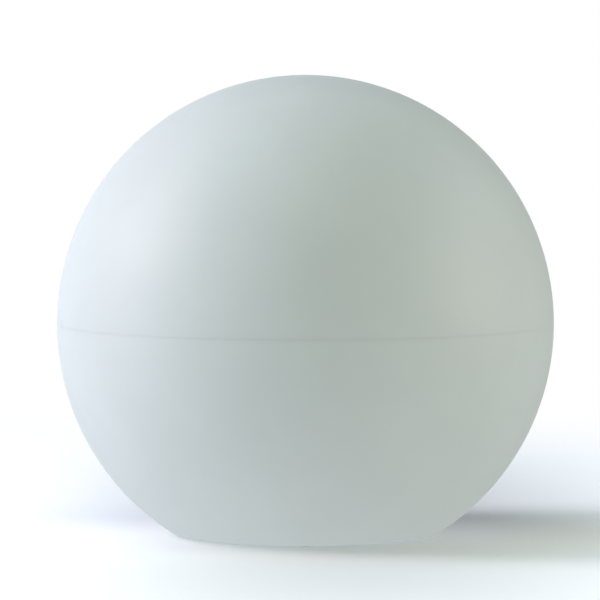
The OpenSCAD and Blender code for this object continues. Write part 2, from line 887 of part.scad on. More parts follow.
module round_board(r, t) {
    difference() {
        cylinder(r = r, h = t);
        for (side = [-1, 1]) translate([0, side * light_screw_y, -1]) screw_hole(small_screw_r, t + 2);
        lead_notch(t);
    }
}

module heat_spreader() {
    color("silver") translate([0, 0, spreader_z]) round_board(spreader_r, spreader_t);
}

module light_board() {
    color("white") translate([0, 0, led_board_z]) round_board(led_board_r, board_t);
}

module at_leds() {
    around(outer_leds, outer_led_r, 180 / outer_leds) children();
    around(inner_leds, inner_led_r) children();
}

module led_chips() {
    color("khaki") translate([0, 0, led_z]) at_leds() difference() {
        translate([-led_w / 2, -led_w / 2, 0]) cube([led_w, led_w, led_t]);
        translate([0, 0, led_t - 0.4]) cylinder(r = led_w * 0.38, h = 1);
    }
}

module reflector_sheet() {
    hole = led_w + 2 * fit_gap;
    color("white") translate([0, 0, led_z]) difference() {
        cylinder(r = led_board_r - 1, h = reflector_t);
        at_leds() translate([-hole / 2, -hole / 2, -1]) cube([hole, hole, reflector_t + 2]);
        for (side = [-1, 1]) translate([0, side * light_screw_y, -1])
            cylinder(r = small_screw_r + 1.4, h = reflector_t + 2);
        translate([grommet_pos.x - 4, grommet_pos.y, -1]) cylinder(r = grommet_r + 3, h = reflector_t + 2);
    }
}

module light_screws() {
    color(steel) for (side = [-1, 1]) translate([0, side * light_screw_y, led_z])
        cap_screw(small_screw_r, board_t + spreader_t + light_screw_grip, small_screw_r + small_head_rim);
}

module lead_grommet() {
    color(rubber_grey) translate([grommet_pos.x, grommet_pos.y, deck_z - 1]) difference() {
        union() {
            cylinder(r = grommet_r, h = deck_t + 2);
            cylinder(r = grommet_r + grommet_lip, h = 1);
            translate([0, 0, deck_t + 1]) cylinder(r = grommet_r + grommet_lip, h = 1);
        }
        translate([0, 0, -1]) cylinder(r = grommet_r - 0.9, h = deck_t + 4);
    }
}

// ---------------------------------------------------------------- battery

module at_cells() {
    for (i = [0 : cell_count - 1])
        translate([0, (i - (cell_count - 1) / 2) * cell_pitch, cell_z]) children();
}

module battery_cells() {
    color("steelblue") at_cells() rotate([0, 90, 0]) {
        translate([0, 0, -cell_l / 2]) cylinder(r = cell_r, h = cell_l - terminal_l);
        translate([0, 0, cell_l / 2 - terminal_l - 1]) cylinder(r = cell_r * 0.35, h = terminal_l + 1);
    }
}

// Upright wall of the cradle, cut to the cells' round backs.
module saddle(x) {
    difference() {
        translate([x - saddle_t / 2, -cradle_in_w / 2 - 1, cradle_z])
            cube([saddle_t, cradle_in_w + 2, cell_z - cradle_z]);
        at_cells() rotate([0, 90, 0]) cylinder(r = cell_r + fit_gap / 2, h = cradle_l, center = true);
    }
}

module battery_cradle() {
    color("dimgray") difference() {
        union() {
            difference() {
                translate([-cradle_l / 2, -cradle_w / 2, cradle_z])
                    cube([cradle_l, cradle_w, cradle_top - cradle_z]);
                translate([-cradle_in_l / 2, -cradle_in_w / 2, cradle_z + cradle_wall])
                    cube([cradle_in_l, cradle_in_w, cell_d]);
            }
            for (x = [-cell_l / 3, 0, cell_l / 3]) saddle(x);
            for (x = [-1, 1], side = [-1, 1])
                translate([x * post_pos.x, 0, cradle_z]) {
                    translate([-boss_r, side > 0 ? cradle_w / 2 - 1 : -post_pos.y, 0])
                        cube([2 * boss_r, post_pos.y - cradle_w / 2 + 1, ear_t]);
                    translate([0, side * post_pos.y, 0]) cylinder(r = boss_r, h = ear_t);
                }
        }
        corners(post_pos) translate([0, 0, cradle_z - 1]) screw_hole(screw_r, ear_t + 2);
        // Weight-saving windows in the floor
        for (x = [-0.5, 0.5], i = [-1 : 1])
            translate([x * cell_l / 3, i * cell_pitch, cradle_z - 1])
                linear_extrude(cradle_wall + 2) slot_2d(cell_l / 3 - 6, cell_d / 2);
    }
}

module cradle_screws() {
    color(steel) corners(post_pos) translate([0, 0, cradle_z]) rotate([180, 0, 0])
        cap_screw(screw_r, ear_t + screw_grip, screw_r + head_rim);
}

module cell_foam() {
    color("gray") translate([-cell_l / 2 + 4, -cradle_in_w / 2 + 2, foam_z])
        cube([cell_l - 8, cradle_in_w - 4, foam_t]);
}

module cell_strips() {
    color("silver") for (side = [-1, 1])
        translate([side * (cell_l / 2 + strip_t / 2), 0, cell_z])
            cube([strip_t, 2 * cell_pitch + strip_w, strip_w], center = true);
}

// ---------------------------------------------------------------- control board

module control_board() {
    color("seagreen") translate([0, 0, board_z]) difference() {
        cylinder(r = board_r, h = board_t);
        corners(standoff_pos) translate([0, 0, -1]) screw_hole(small_screw_r, board_t + 2);
        for (side = [-1, 1])
            translate([side * (board_r + 1), 0, -1]) cylinder(r = notch_r, h = board_t + 2);
    }
}

// Chip package with its lower edge at z = 0.
module package(x, y, w, l, h) {
    translate([x - w / 2, y - l / 2, 0]) cube([w, l, h]);
}

module chip_resistor(x, y) {
    package(x, y, chip_size.x, chip_size.y, chip_size.z);
}

module plug(pos) {
    package(pos.x, pos.y, plug_size.x, plug_size.y, plug_size.z);
}

module board_components() {
    color([0.15, 0.15, 0.16]) translate([0, 0, board_top]) {
        for (p = packages) package(p[0], p[1], p[2], p[3], p[4]);
        for (side = [-1, 1]) plug(side * power_plug);
        plug(light_plug);
        for (i = [0 : 4]) chip_resistor(first_chips.x + chip_step * i, first_chips.y);
        for (i = [0 : 3]) chip_resistor(second_chips.x + chip_step * i, second_chips.y);
        for (c = capacitors) translate([c[0], c[1], 0]) cylinder(r = c[2], h = c[3]);
    }
}

module board_screws() {
    color(steel) corners(standoff_pos) translate([0, 0, board_top])
        cap_screw(small_screw_r, board_t + small_screw_grip, small_screw_r + small_head_rim);
}

module switch_body() {
    color([0.15, 0.15, 0.16]) translate([button_pos.x, button_pos.y, board_z - switch_h]) difference() {
        translate([-switch_w / 2, -switch_w / 2, 0]) cube([switch_w, switch_w, switch_h]);
        translate([0, 0, -1]) cylinder(r = plunger_r + run_gap, h = button_travel + 1.5);
    }
}

// Lead from a plug on the board, up past the end of the cradle and down to a strip on the cells.
// It is drawn for the side at +X.
module power_lead() {
    y = power_plug.y;
    from = power_plug.x + plug_size.x / 2 + 0.1;
    out = cradle_l / 2 + power_lead_d / 2 + lead_space;
    tab = cell_l / 2 + strip_t + power_lead_d / 2;
    top = cradle_top + power_lead_d + lead_space;
    wire_along(curve([
        [from, y, board_top + lead_h],
        [from + 3, y, board_top + lead_h],
        [out - 2, y, board_top + lead_h + 0.4],
        [out, y, board_top + lead_h + 4],
        [out, y, cradle_top - 5],
        [out - 1, y, top - 1],
        [tab + 0.3, y, top],
        [tab, y, cradle_top + 0.6]
    ], 4), power_lead_d, [0, 1, 0]);
}

module positive_lead() {
    color("firebrick") power_lead();
}

module negative_lead() {
    color([0.1, 0.1, 0.1]) rotate([0, 0, 180]) power_lead();
}

// Lead from the control board, up through the grommet and down to the light board.
module light_lead() {
    x = grommet_pos.x;
    y = grommet_pos.y;
    out = cradle_l / 2 + light_lead_d / 2 + lead_side;
    from = light_plug.x + plug_size.x / 2 + 0.1;
    color([0.1, 0.1, 0.1]) wire_along(curve([
        [from, y, board_top + lead_h],
        [from + 3, y, board_top + lead_h],
        [out - 2, y, board_top + lead_h + 0.5],
        [out, y, board_top + lead_h + 4],
        [out, y, deck_z - 8],
        [x, y, deck_z - 2],
        [x, y, deck_top],
        [x - 0.6, y, led_z + 3],
        [x - 3, y, led_z + 4.4],
        [x - 5.4, y, led_z + 1.6]
    ], 4), light_lead_d, [0, 1, 0]);
}

// ---------------------------------------------------------------- charging port

module socket_shell() {
    color(steel) translate([port_pos.x, port_pos.y, pocket_z + mouth_depth]) {
        difference() {
            linear_extrude(socket_z + socket_flange_t + 4 - pocket_z - mouth_depth) slot_2d(nose_w, nose_t);
            translate([0, 0, -1]) linear_extrude(7.5) slot_2d(nose_w - 0.7, nose_t - 0.7);
        }
        translate([-3.35, -0.35, 0.8]) cube([6.7, 0.7, 6.2]);
    }
}

module socket_body() {
    color([0.12, 0.12, 0.13]) translate([port_pos.x, port_pos.y, socket_z]) difference() {
        union() {
            linear_extrude(socket_flange_t) rounded_2d(socket_flange_w, socket_flange_l, 2);
            translate([0, 0, (socket_top - socket_z) / 2])
                cube([socket_block_w, socket_block_l, socket_top - socket_z], center = true);
        }
        translate([0, 0, -1]) linear_extrude(socket_flange_t + 5 + fit_gap)
            slot_2d(nose_w + fit_gap, nose_t + fit_gap);
        for (side = [-1, 1]) translate([side * socket_screw_x, 0, -1])
            screw_hole(tiny_screw_r, socket_flange_t + 2);
    }
}

module socket_gasket() {
    color(silicone) translate([port_pos.x, port_pos.y, ceiling_top]) linear_extrude(gasket_t) difference() {
        rounded_2d(socket_flange_w, socket_flange_l, 2);
        slot_2d(nose_w + 2 * fit_gap, nose_t + 2 * fit_gap);
        for (side = [-1, 1]) translate([side * socket_screw_x, 0]) circle(tiny_screw_r + fit_gap);
    }
}

module socket_screws() {
    color(steel) for (side = [-1, 1])
        translate([port_pos.x + side * socket_screw_x, port_pos.y, socket_z + socket_flange_t])
            cap_screw(tiny_screw_r, socket_flange_t + gasket_t + tiny_screw_grip,
                2 * tiny_screw_r, tiny_screw_grip);
}

module hinge_pin() {
    color(steel) translate([0, hinge_y, hinge_z]) rotate([0, 90, 0])
        cylinder(r = pin_r, h = knuckle_w + 2 * run_gap + 2 * lug_w, center = true);
}

module port_door() {
    color(body_white) difference() {
        union() {
            translate([port_pos.x, port_pos.y, door_z])
                linear_extrude(door_t) rounded_2d(door_w, door_l, 2);
            translate([-knuckle_w / 2, hinge_y, door_z]) cube([knuckle_w, knuckle_r + 2, door_t]);
            translate([0, hinge_y, hinge_z]) rotate([0, 90, 0])
                cylinder(r = knuckle_r, h = knuckle_w, center = true);
        }
        translate([0, hinge_y, hinge_z]) rotate([0, 90, 0])
            cylinder(r = pin_r + pivot_play, h = knuckle_w + 2, center = true);
        // Fingernail groove along the free edge
        translate([-door_w / 4, port_pos.y + door_l / 2 - 1.2, door_z - 1]) cube([door_w / 2, 2, 1.7]);
    }
}

module port_seal() {
    color(silicone) translate([port_pos.x, port_pos.y, door_top]) {
        linear_extrude(seal_pad_t) rounded_2d(mouth_w + 4, mouth_t + 3, 2);
        linear_extrude(seal_pad_t + mouth_depth - run_gap) slot_2d(mouth_w - 2, mouth_t - 2);
    }
}

// ---------------------------------------------------------------- button

module button_cap() {
    color(silicone) translate([button_pos.x, button_pos.y, 0]) difference() {
        union() {
            translate([0, 0, cap_z]) cylinder(r1 = button_r - 0.8, r2 = button_r, h = 0.8);
            translate([0, 0, cap_z + 0.8]) cylinder(r = button_r, h = cap_t - 0.8);
            translate([0, 0, cap_top - 1]) cylinder(r = stem_r, h = stem_top - cap_top + 1);
        }
        // Dished face
        translate([0, 0, cap_z + dish_depth - dish_r]) sphere(r = dish_r);
        // Grooves for the sealing ring and the clip
        translate([0, 0, stem_seal_z]) ring(stem_r + 1, stem_groove_r, stem_seal_h + fit_gap);
        translate([0, 0, clip_z]) ring(stem_r + 1, stem_r - 0.8, clip_t);
    }
}

module button_clip() {
    color(steel) translate([button_pos.x, button_pos.y, clip_z]) difference() {
        cylinder(r = clip_r, h = clip_t);
        translate([0, 0, -1]) cylinder(r = stem_r - 0.8, h = clip_t + 2);
        translate([0, -stem_r * 0.45, -1]) cube([clip_r + 1, stem_r * 0.9, clip_t + 2]);
    }
}

module stem_seal() {
    w = guide_r - stem_groove_r;
    color(silicone) translate([button_pos.x, button_pos.y, stem_seal_z + fit_gap / 2])
        rotate_extrude() translate([stem_groove_r, 0]) square([w - 0.02, stem_seal_h]);
}

module switch_plunger() {
    color("ivory") translate([button_pos.x, button_pos.y, stem_top]) cylinder(r = plunger_r, h = plunger_h);
}

module button_spring() {
    rise = spring_l - spring_wire;
    steps = spring_turns * 20;
    color(steel) translate([button_pos.x, button_pos.y, cap_top + spring_wire / 2])
        wire_along([
            for (i = [0 : steps])
                concat(polar(spring_r, 360 * spring_turns * i / steps), rise * i / steps)
        ], spring_wire * 0.98, [0, 0, 1]);
}

// ---------------------------------------------------------------- hanging bail

module hang_bail() {
    color(steel) translate([0, 0, bail_z]) {
        translate([0, bail_drop, 0]) rotate_extrude(angle = 180) translate([bail_r, 0]) circle(wire_r);
        for (side = [-1, 1]) {
            translate([side * bail_r, bend_r, 0]) rotate([-90, 0, 0]) cylinder(r = wire_r, h = leg_l);
            translate([side * (bail_r + bend_r), bend_r, 0]) rotate([0, 0, side > 0 ? 180 : 270])
                rotate_extrude(angle = 90) translate([bend_r, 0]) circle(wire_r);
            translate([side * (bail_r + bend_r), 0, 0]) rotate([0, side * 90, 0])
                cylinder(r = wire_r, h = pivot_l);
        }
    }
}

// ---------------------------------------------------------------- nodes

upper_shell();
lower_shell();
rubber_feet();
ballast_ring();
ballast_screws();
neck_seal();
base_plate();
plate_gasket();
plate_screw_set();  // plate_screws
housing();
dome_lens();
lens_gasket();
lens_screw_set();  // lens_screws
heat_spreader();
light_board();
led_chips();
reflector_sheet();
light_screws();
lead_grommet();
battery_cells();
battery_cradle();
cradle_screws();
cell_foam();
cell_strips();
control_board();
board_components();
board_screws();
switch_body();
positive_lead();
negative_lead();
light_lead();
socket_body();
socket_shell();
socket_gasket();
socket_screws();
hinge_pin();
button_cap();
button_clip();
stem_seal();
switch_plunger();
button_spring();
hang_bail();
port_door();
port_seal();
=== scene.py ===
import math

import bmesh
import bpy
from bpy.props import FloatProperty, FloatVectorProperty, IntProperty, PointerProperty
from bpy.types import Operator, Panel, PropertyGroup
from mathutils import Matrix, Vector


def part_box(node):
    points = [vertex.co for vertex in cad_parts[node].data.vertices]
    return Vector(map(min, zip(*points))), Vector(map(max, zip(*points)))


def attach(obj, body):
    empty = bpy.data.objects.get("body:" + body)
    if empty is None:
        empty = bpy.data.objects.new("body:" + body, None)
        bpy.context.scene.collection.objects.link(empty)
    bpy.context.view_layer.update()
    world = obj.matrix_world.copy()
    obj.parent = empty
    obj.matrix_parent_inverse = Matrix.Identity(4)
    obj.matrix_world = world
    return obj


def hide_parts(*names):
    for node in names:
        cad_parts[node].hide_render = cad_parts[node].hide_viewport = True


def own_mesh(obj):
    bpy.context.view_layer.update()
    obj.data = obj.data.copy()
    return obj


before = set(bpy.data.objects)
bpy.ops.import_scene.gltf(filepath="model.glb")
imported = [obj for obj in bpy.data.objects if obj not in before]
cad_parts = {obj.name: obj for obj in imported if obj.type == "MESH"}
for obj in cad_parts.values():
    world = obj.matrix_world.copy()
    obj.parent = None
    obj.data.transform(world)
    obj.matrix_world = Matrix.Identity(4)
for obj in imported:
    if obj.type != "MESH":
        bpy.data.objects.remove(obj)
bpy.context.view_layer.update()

bl_info = {
    "name": "Floating globe light",
    "version": (1, 0, 0),
    "blender": (4, 5, 0),
    "location": "3D View > Sidebar > Globe Light",
    "description": "Builds a floating pool light: a satin globe over a twist-out light module",
    "category": "Object",
}

MM = 0.001

# Lowest and highest corners of the nodes that new shapes are fitted to, in metres
upper_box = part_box("upper_shell")
lower_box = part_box("lower_shell")
seal_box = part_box("neck_seal")
feet_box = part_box("rubber_feet")
ballast_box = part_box("ballast_ring")
led_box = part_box("led_chips")
cells_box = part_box("battery_cells")
spring_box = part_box("button_spring")


# ---------------------------------------------------------------- sizes and colours


def length(name, description, value):
    """A size that a user may change."""
    return FloatProperty(
        name=name, description=description, default=value, min=0.0, unit="LENGTH",
        subtype="DISTANCE", precision=4,
    )


def angle(name, description, degrees):
    """An angle that a user may change."""
    return FloatProperty(
        name=name, description=description, default=math.radians(degrees), subtype="ANGLE",
    )


def number(name, description, value, **limits):
    """A plain number that a user may change."""
    return FloatProperty(name=name, description=description, default=value, **limits)


def count(name, description, value, least):
    """A number of copies that a user may change."""
    return IntProperty(name=name, description=description, default=value, min=least)


def tint(name, description, value):
    """A colour that a user may change."""
    return FloatVectorProperty(
        name=name, description=description, default=value, min=0.0, max=1.0, size=3,
        subtype="COLOR",
    )


class GlobeLightShell(PropertyGroup):
    radius: length("Globe radius", "Outer radius of the globe", upper_box[1].x)
    wall: length("Wall", "Thickness of both shells", 3 * MM)
    centre_z: length("Seam height", "Height of the seam and the globe's centre", upper_box[0].z)
    base_z: length("Base height", "Height of the globe's flat over the floor", lower_box[0].z)
    edge_round: length("Edge rounding", "Radius between the globe's side and its flat", 9 * MM)
    rim_depth: length("Band depth", "How far the band at the seam goes past the wall", 3 * MM)
    rim_height: length("Band height", "Height of that band in each shell", 9 * MM)
    rim_taper: length("Band taper", "Height of the band's sloped end", 3 * MM)
    tongue_width: length("Tongue width", "Width of the tongue on the lower shell", 2 * MM)
    tongue_height: length("Tongue height", "Height of that tongue", 4 * MM)
    tongue_gap: length("Tongue gap", "Gap between the tongue and its groove", 0.1 * MM)
    edge_soft: length("Soft edges", "Rounding of the shells' edges and of the seam", 0.07 * MM)
    recess_radius: length("Recess radius", "Radius of the base plate's recess", 60.8 * MM)
    seat_z: length("Seat height", "Height of the seat that the base plate closes", seal_box[1].z)
    neck_radius: length("Neck radius", "Inner radius of the threaded neck", 52 * MM)
    neck_height: length("Neck height", "Height of the neck over its seat", 20 * MM)
    rib_count: count("Ribs", "Ribs round the neck", 12, 0)
    rib_width: length("Rib width", "Thickness of a rib", 2 * MM)
    thread_starts: count("Thread starts", "Starts of the thread", 2, 1)
    thread_lead: length("Thread lead", "Rise of the thread in one turn", 12 * MM)
    thread_depth: length("Thread depth", "How far the thread stands proud", 1.6 * MM)
    thread_width: length("Thread width", "Width of the thread at its root", 3 * MM)
    thread_turn: angle("Thread turn", "How far round one thread goes", 220)
    boss_radius: length("Boss radius", "Radius of a ballast boss", 3.3 * MM)
    foot_radius: length("Foot pocket radius", "Radius of a foot's pocket", 4.7 * MM)
    spring_wire: length("Spring wire", "Thickness of the return spring's wire", 0.59 * MM)
    spring_turns: number("Spring turns", "Turns of the return spring", 3.5, min=1.0)
    button_travel: length("Button travel", "How far the button is pressed", 1.2 * MM)


class GlobeLightColours(PropertyGroup):
    globe: tint("Globe", "Satin polyethylene of the globe", (0.78, 0.82, 0.80))
    body: tint("Body", "Moulded plastic of the module", (0.66, 0.68, 0.675))
    lens: tint("Lens", "Clear plastic of the lens", (0.95, 0.97, 0.97))
    black: tint("Black plastic", "Filled nylon inside the module", (0.022, 0.022, 0.024))
    rubber: tint("Rubber", "Grey rubber of the feet", (0.045, 0.047, 0.050))
    silicone: tint("Silicone", "Silicone of the seals and the button", (0.36, 0.41, 0.44))
    foam: tint("Foam", "Foam pad over the cells", (0.075, 0.075, 0.080))
    steel: tint("Stainless steel", "Screws, bail and hinge pin", (0.50, 0.51, 0.52))
    zinc: tint("Zinc", "Zinc coat of the ballast ring", (0.50, 0.52, 0.54))
    nickel: tint("Nickel", "Nickel strip on the cells", (0.62, 0.60, 0.55))
    aluminium: tint("Aluminium", "Sheet of the heat spreader", (0.74, 0.75, 0.76))
    wrap: tint("Cell wrap", "Shrink wrap of the cells", (0.025, 0.14, 0.33))
    phosphor: tint("Phosphor", "Phosphor of the lamps", (0.86, 0.62, 0.06))
    ceramic: tint("Lamp frame", "Frame of the lamps", (0.80, 0.79, 0.74))
    white_mask: tint("White mask", "Mask of the light board", (0.80, 0.81, 0.77))
    green_mask: tint("Green mask", "Mask of the control board", (0.010, 0.105, 0.045))
    film: tint("White film", "Reflector sheet and the switch's plunger", (0.86, 0.87, 0.86))
    laminate: tint("Laminate", "Bare edge of a board", (0.52, 0.44, 0.24))
    copper: tint("Copper", "Plated holes and pads", (0.78, 0.52, 0.26))
    red_wire: tint("Red lead", "Insulation of the positive lead", (0.46, 0.018, 0.014))
    black_wire: tint("Black lead", "Insulation of the other leads", (0.014, 0.014, 0.015))


class GlobeLightStage(PropertyGroup):
    elevation: angle("Camera elevation", "How far the camera looks down", 3.567)
    distance: length("Camera distance", "From the camera to what it looks at", 4.0)
    lens: number("Lens", "Focal length", 397.3, subtype="DISTANCE_CAMERA")
    aim: FloatVectorProperty(
        name="Aim", description="The point that the camera looks at",
        default=(-0.0033, 0.0, 0.1422), subtype="TRANSLATION",
    )
    floor_size: length("Floor", "Half side of the floor", 8.0)
    # The floor's tone under the globe and its darker patch paint shade on the floor: it is darker
    # in an oval round the globe, which deepens the globe's cast shadow
    floor_shade_tone: number("Floor tone", "Tone of the floor under the globe", 0.323, min=0.0, max=1.0)
    floor_far: number("Far floor tone", "The same, away from the globe", 1.0, min=0.0, max=1.0)
    floor_shade_patch: FloatVectorProperty(
        name="Darker patch", description="Half width and half depth of the floor's darker patch",
        default=(0.447, 1.301), size=2,
    )
    lamp_level: number("Lamps", "Level of all the lamps together", 1.0, min=0.0)
    room_below: tint("Room below", "Light from the pale floor", (0.742, 0.762, 0.790))
    room_front: tint("Room in front", "Light from in front", (0.280, 0.316, 0.255))
    room_left: tint("Room at the left", "Light from the left", (0.402, 0.459, 0.569))


def settings():
    """The three groups of values, from the scene."""
    scene = bpy.context.scene
    return scene.globe_light_shell, scene.globe_light_colours, scene.globe_light_stage


def put(item, **values):
    """Sets several values of one thing."""
    for key, value in values.items():
        setattr(item, key, value)
    return item


# ---------------------------------------------------------------- node helpers


def as_rgba(value):
    """A colour as its four channels, or a socket as it is."""
    if isinstance(value, bpy.types.NodeSocket):
        return value
    value = tuple(value)
    return value if len(value) == 4 else (*value, 1.0)


class Tree:
    """Adds nodes to one tree and joins them."""

    def __init__(self, tree):
        self.tree = tree

    def feed(self, socket, value):
        if isinstance(value, bpy.types.NodeSocket):
            self.tree.links.new(value, socket)
        elif value is not None:
            socket.default_value = value

    def add(self, kind, inputs=None, **choices):
        node = put(self.tree.nodes.new("ShaderNode" + kind), **choices)
        for key, value in (inputs or {}).items():
            self.feed(node.inputs[key], value)
        return node

    def sum(self, operation, a, b=None, c=None):
        """One step of arithmetic."""
        return self.add("Math", {0: a, 1: b, 2: c}, operation=operation).outputs[0]

    def times(self, a, b):
        return self.sum("MULTIPLY", a, b)

    def most(self, a, b):
        return self.sum("MAXIMUM", a, b)

    def mix(self, share, a, b, way="MIX"):
        """Colour b over colour a."""
        inputs = {0: share, 6: as_rgba(a), 7: as_rgba(b)}
        return self.add("Mix", inputs, data_type="RGBA", blend_type=way).outputs[2]

    def slope(self, value, low, high, start=0.0, end=1.0):
        """Start below low, end above high, and a smooth step between them."""
        inputs = {0: value, 1: low, 2: high, 3: start, 4: end}
        return self.add("MapRange", inputs, interpolation_type="SMOOTHSTEP").outputs[0]

    def parts(self, vector):
        return self.add("SeparateXYZ", {0: vector}).outputs

    def vector(self, x, y, z):
        return self.add("CombineXYZ", {0: x, 1: y, 2: z}).outputs[0]

    def measure(self, operation, a, b=None):
        """A number from one or two vectors."""
        return self.add("VectorMath", {0: a, 1: b}, operation=operation).outputs["Value"]

    def facing(self):
        """Parts of the direction that the surface faces."""
        return self.parts(self.add("NewGeometry").outputs["Normal"])

    def in_units(self, vector, size):
        """Pattern space in which a given size is 1."""
        rate = self.sum("DIVIDE", 1.0, size)
        return self.add("VectorMath", {0: vector, 3: rate}, operation="SCALE").outputs[0]

    def placed(self, vector, location=(0, 0, 0), turn=(0, 0, 0), scale=(1, 1, 1)):
        """Pattern space, moved, turned and stretched."""
        inputs = {"Vector": vector, "Location": location, "Rotation": turn, "Scale": scale}
        return self.add("Mapping", inputs).outputs[0]

    def noise(self, vector, scale=1.0, detail=2.0, roughness=0.5, twist=0.0):
        inputs = {
            "Vector": vector, "Scale": scale, "Detail": detail, "Roughness": roughness,
            "Distortion": twist,
        }
        return self.add("TexNoise", inputs).outputs["Fac"]

    def cells(self, vector, scale, randomness=1.0, **choices):
        inputs = {"Vector": vector, "Scale": scale, "Randomness": randomness}
        return self.add("TexVoronoi", inputs, **choices).outputs

    def group(self, name, **inputs):
        node = self.add("Group")
        node.node_tree = bpy.data.node_groups[name]
        for key, value in inputs.items():
            key = key.replace("_", " ")
            self.feed(node.inputs[key], as_rgba(value) if "Colour" in key else value)
        return node.outputs


def new_group(name, inputs, outputs):
    """A group that reads a pattern at a vector: its nodes, inputs, and a call that fills it."""
    tree = bpy.data.node_groups.new(name, "ShaderNodeTree")

    def new_socket(label, way):
        kind = "NodeSocketColor" if "Colour" in label else "NodeSocketFloat"
        return tree.interface.new_socket(label, in_out=way, socket_type=kind)

    tree.interface.new_socket("Vector", in_out="INPUT", socket_type="NodeSocketVector")
    for label, default in inputs.items():
        new_socket(label, "INPUT").default_value = default
    for label in outputs:
        new_socket(label, "OUTPUT")
    nodes = Tree(tree)
    given = tree.nodes.new("NodeGroupInput").outputs
    end = tree.nodes.new("NodeGroupOutput")

    def fill(*values):
        for label, value in zip(outputs, values):
            tree.links.new(value, end.inputs[label])

    return nodes, given, fill


def make_fine_grain():
    """Even grain of a mould or a casting, as a height."""
    nodes, given, fill = new_group("Fine Grain", {"Size": 0.001}, ["Height"])
    fill(nodes.noise(nodes.in_units(given["Vector"], given["Size"]), 1.0, 3.0, 0.55))


def make_soft_mottle():
    """Slow change of a colour over a surface."""
    inputs = {"Size": 0.03, "Colour": (0.8, 0.8, 0.8, 1), "Other Colour": (0.7, 0.7, 0.7, 1)}
    nodes, given, fill = new_group("Soft Mottle", inputs, ["Colour", "Mask"])
    near = nodes.in_units(given["Vector"], given["Size"])
    cloud = nodes.slope(nodes.noise(near, 1.0, 4.0, 0.55, 0.3), 0.3, 0.7)
    fill(nodes.mix(cloud, given["Colour"], given["Other Colour"]), cloud)


def make_hairlines():
    """Fine crossed scratches, as a mask."""
    nodes, given, fill = new_group("Hairlines", {"Length": 0.02, "Amount": 0.5}, ["Mask"])
    near = nodes.in_units(given["Vector"], given["Length"])
    lines = 0.0
    for turn in ((0.2, 0.1, 0.5), (0.9, 0.4, 2.1), (0.3, 1.2, 1.1)):
        stretched = nodes.placed(near, turn=turn, scale=(1.0, 26.0, 26.0))
        field = nodes.noise(stretched, 1.0, 1.0, 0.5, 0.15)
        lines = nodes.most(lines, nodes.slope(field, 0.66, 0.72))
    patch = nodes.slope(nodes.noise(near, 1.7, 2.0), 0.42, 0.62)
    fill(nodes.times(nodes.times(lines, patch), given["Amount"]))


def make_edge_wear():
    """Rubbed edges, found by how far a wide bevel would turn the surface."""
    nodes, given, fill = new_group("Edge Wear", {"Radius": 0.0006, "Amount": 0.6}, ["Mask"])
    wide = nodes.add("Bevel", {"Radius": given["Radius"]}, samples=4).outputs[0]
    true = nodes.add("NewGeometry").outputs["Normal"]
    turned = nodes.measure("DOT_PRODUCT", wide, true)
    edge = nodes.slope(nodes.sum("SUBTRACT", 1.0, turned), 0.01, 0.16)
    patch = nodes.slope(nodes.noise(given["Vector"], 420.0, 3.0), 0.38, 0.62)
    fill(nodes.times(nodes.times(edge, patch), given["Amount"]))


def make_settled_dust():
    """Dust on what faces up, as a mask."""
    nodes, given, fill = new_group("Settled Dust", {"Amount": 0.3}, ["Mask"])
    up = nodes.slope(nodes.facing()["Z"], 0.1, 1.0)
    cloud = nodes.slope(nodes.noise(given["Vector"], 90.0, 6.0, 0.65), 0.4, 0.75)
    fleck = nodes.slope(nodes.noise(given["Vector"], 2400.0, 2.0), 0.66, 0.74)
    amount = nodes.most(nodes.times(cloud, 0.5), fleck)
    fill(nodes.times(nodes.times(up, amount), given["Amount"]))


def make_brushed():
    """Marks of brushing along X, as a height."""
    nodes, given, fill = new_group("Brushed", {"Pitch": 0.0002}, ["Height"])
    near = nodes.in_units(given["Vector"], given["Pitch"])
    coarse = nodes.noise(nodes.placed(near, scale=(0.012, 1.0, 1.0)), 1.0, 3.0)
    fine = nodes.noise(nodes.placed(near, scale=(0.03, 3.0, 3.0)), 1.0, 2.0)
    fill(nodes.sum("ADD", nodes.times(coarse, 0.65), nodes.times(fine, 0.35)))


def make_turned_rings():
    """Rings of a lathe tool round Z, as a height."""
    nodes, given, fill = new_group("Turned Rings", {"Pitch": 0.0002}, ["Height"])
    parts = nodes.parts(given["Vector"])
    out = nodes.measure("LENGTH", nodes.vector(parts["X"], parts["Y"], 0.0))
    near = nodes.in_units(nodes.vector(out, 0.0, parts["Z"]), given["Pitch"])
    fill(nodes.noise(near, 0.5, 3.0, 0.6))


def make_board_tracks():
    """Tracks of a circuit board under its mask, and plated holes, both as masks."""
    nodes, given, fill = new_group("Board Tracks", {"Pitch": 0.003}, ["Tracks", "Holes"])
    flat = nodes.placed(nodes.in_units(given["Vector"], given["Pitch"]), scale=(1, 1, 0))
    blocks = nodes.cells(flat, 0.6, 0.75, distance="MANHATTAN", voronoi_dimensions="2D")
    wave = nodes.sum("FRACT", nodes.times(blocks["Distance"], 5.0))
    track = nodes.times(nodes.slope(wave, 0.40, 0.47), nodes.slope(wave, 0.78, 0.85, 1.0, 0.0))
    area = nodes.slope(nodes.noise(flat, 0.35, 1.0), 0.46, 0.50)
    hole = nodes.cells(flat, 0.9, 0.9, voronoi_dimensions="2D")["Distance"]
    fill(nodes.times(track, area), nodes.slope(hole, 0.07, 0.10, 1.0, 0.0))


def make_groups():
    for make in (
        make_fine_grain, make_soft_mottle, make_hairlines, make_edge_wear, make_settled_dust,
        make_brushed, make_turned_rings, make_board_tracks,
    ):
        make()


# ---------------------------------------------------------------- finishes


def shade(colour, factor):
    return tuple(min(1.0, channel * factor) for channel in colour[:3])


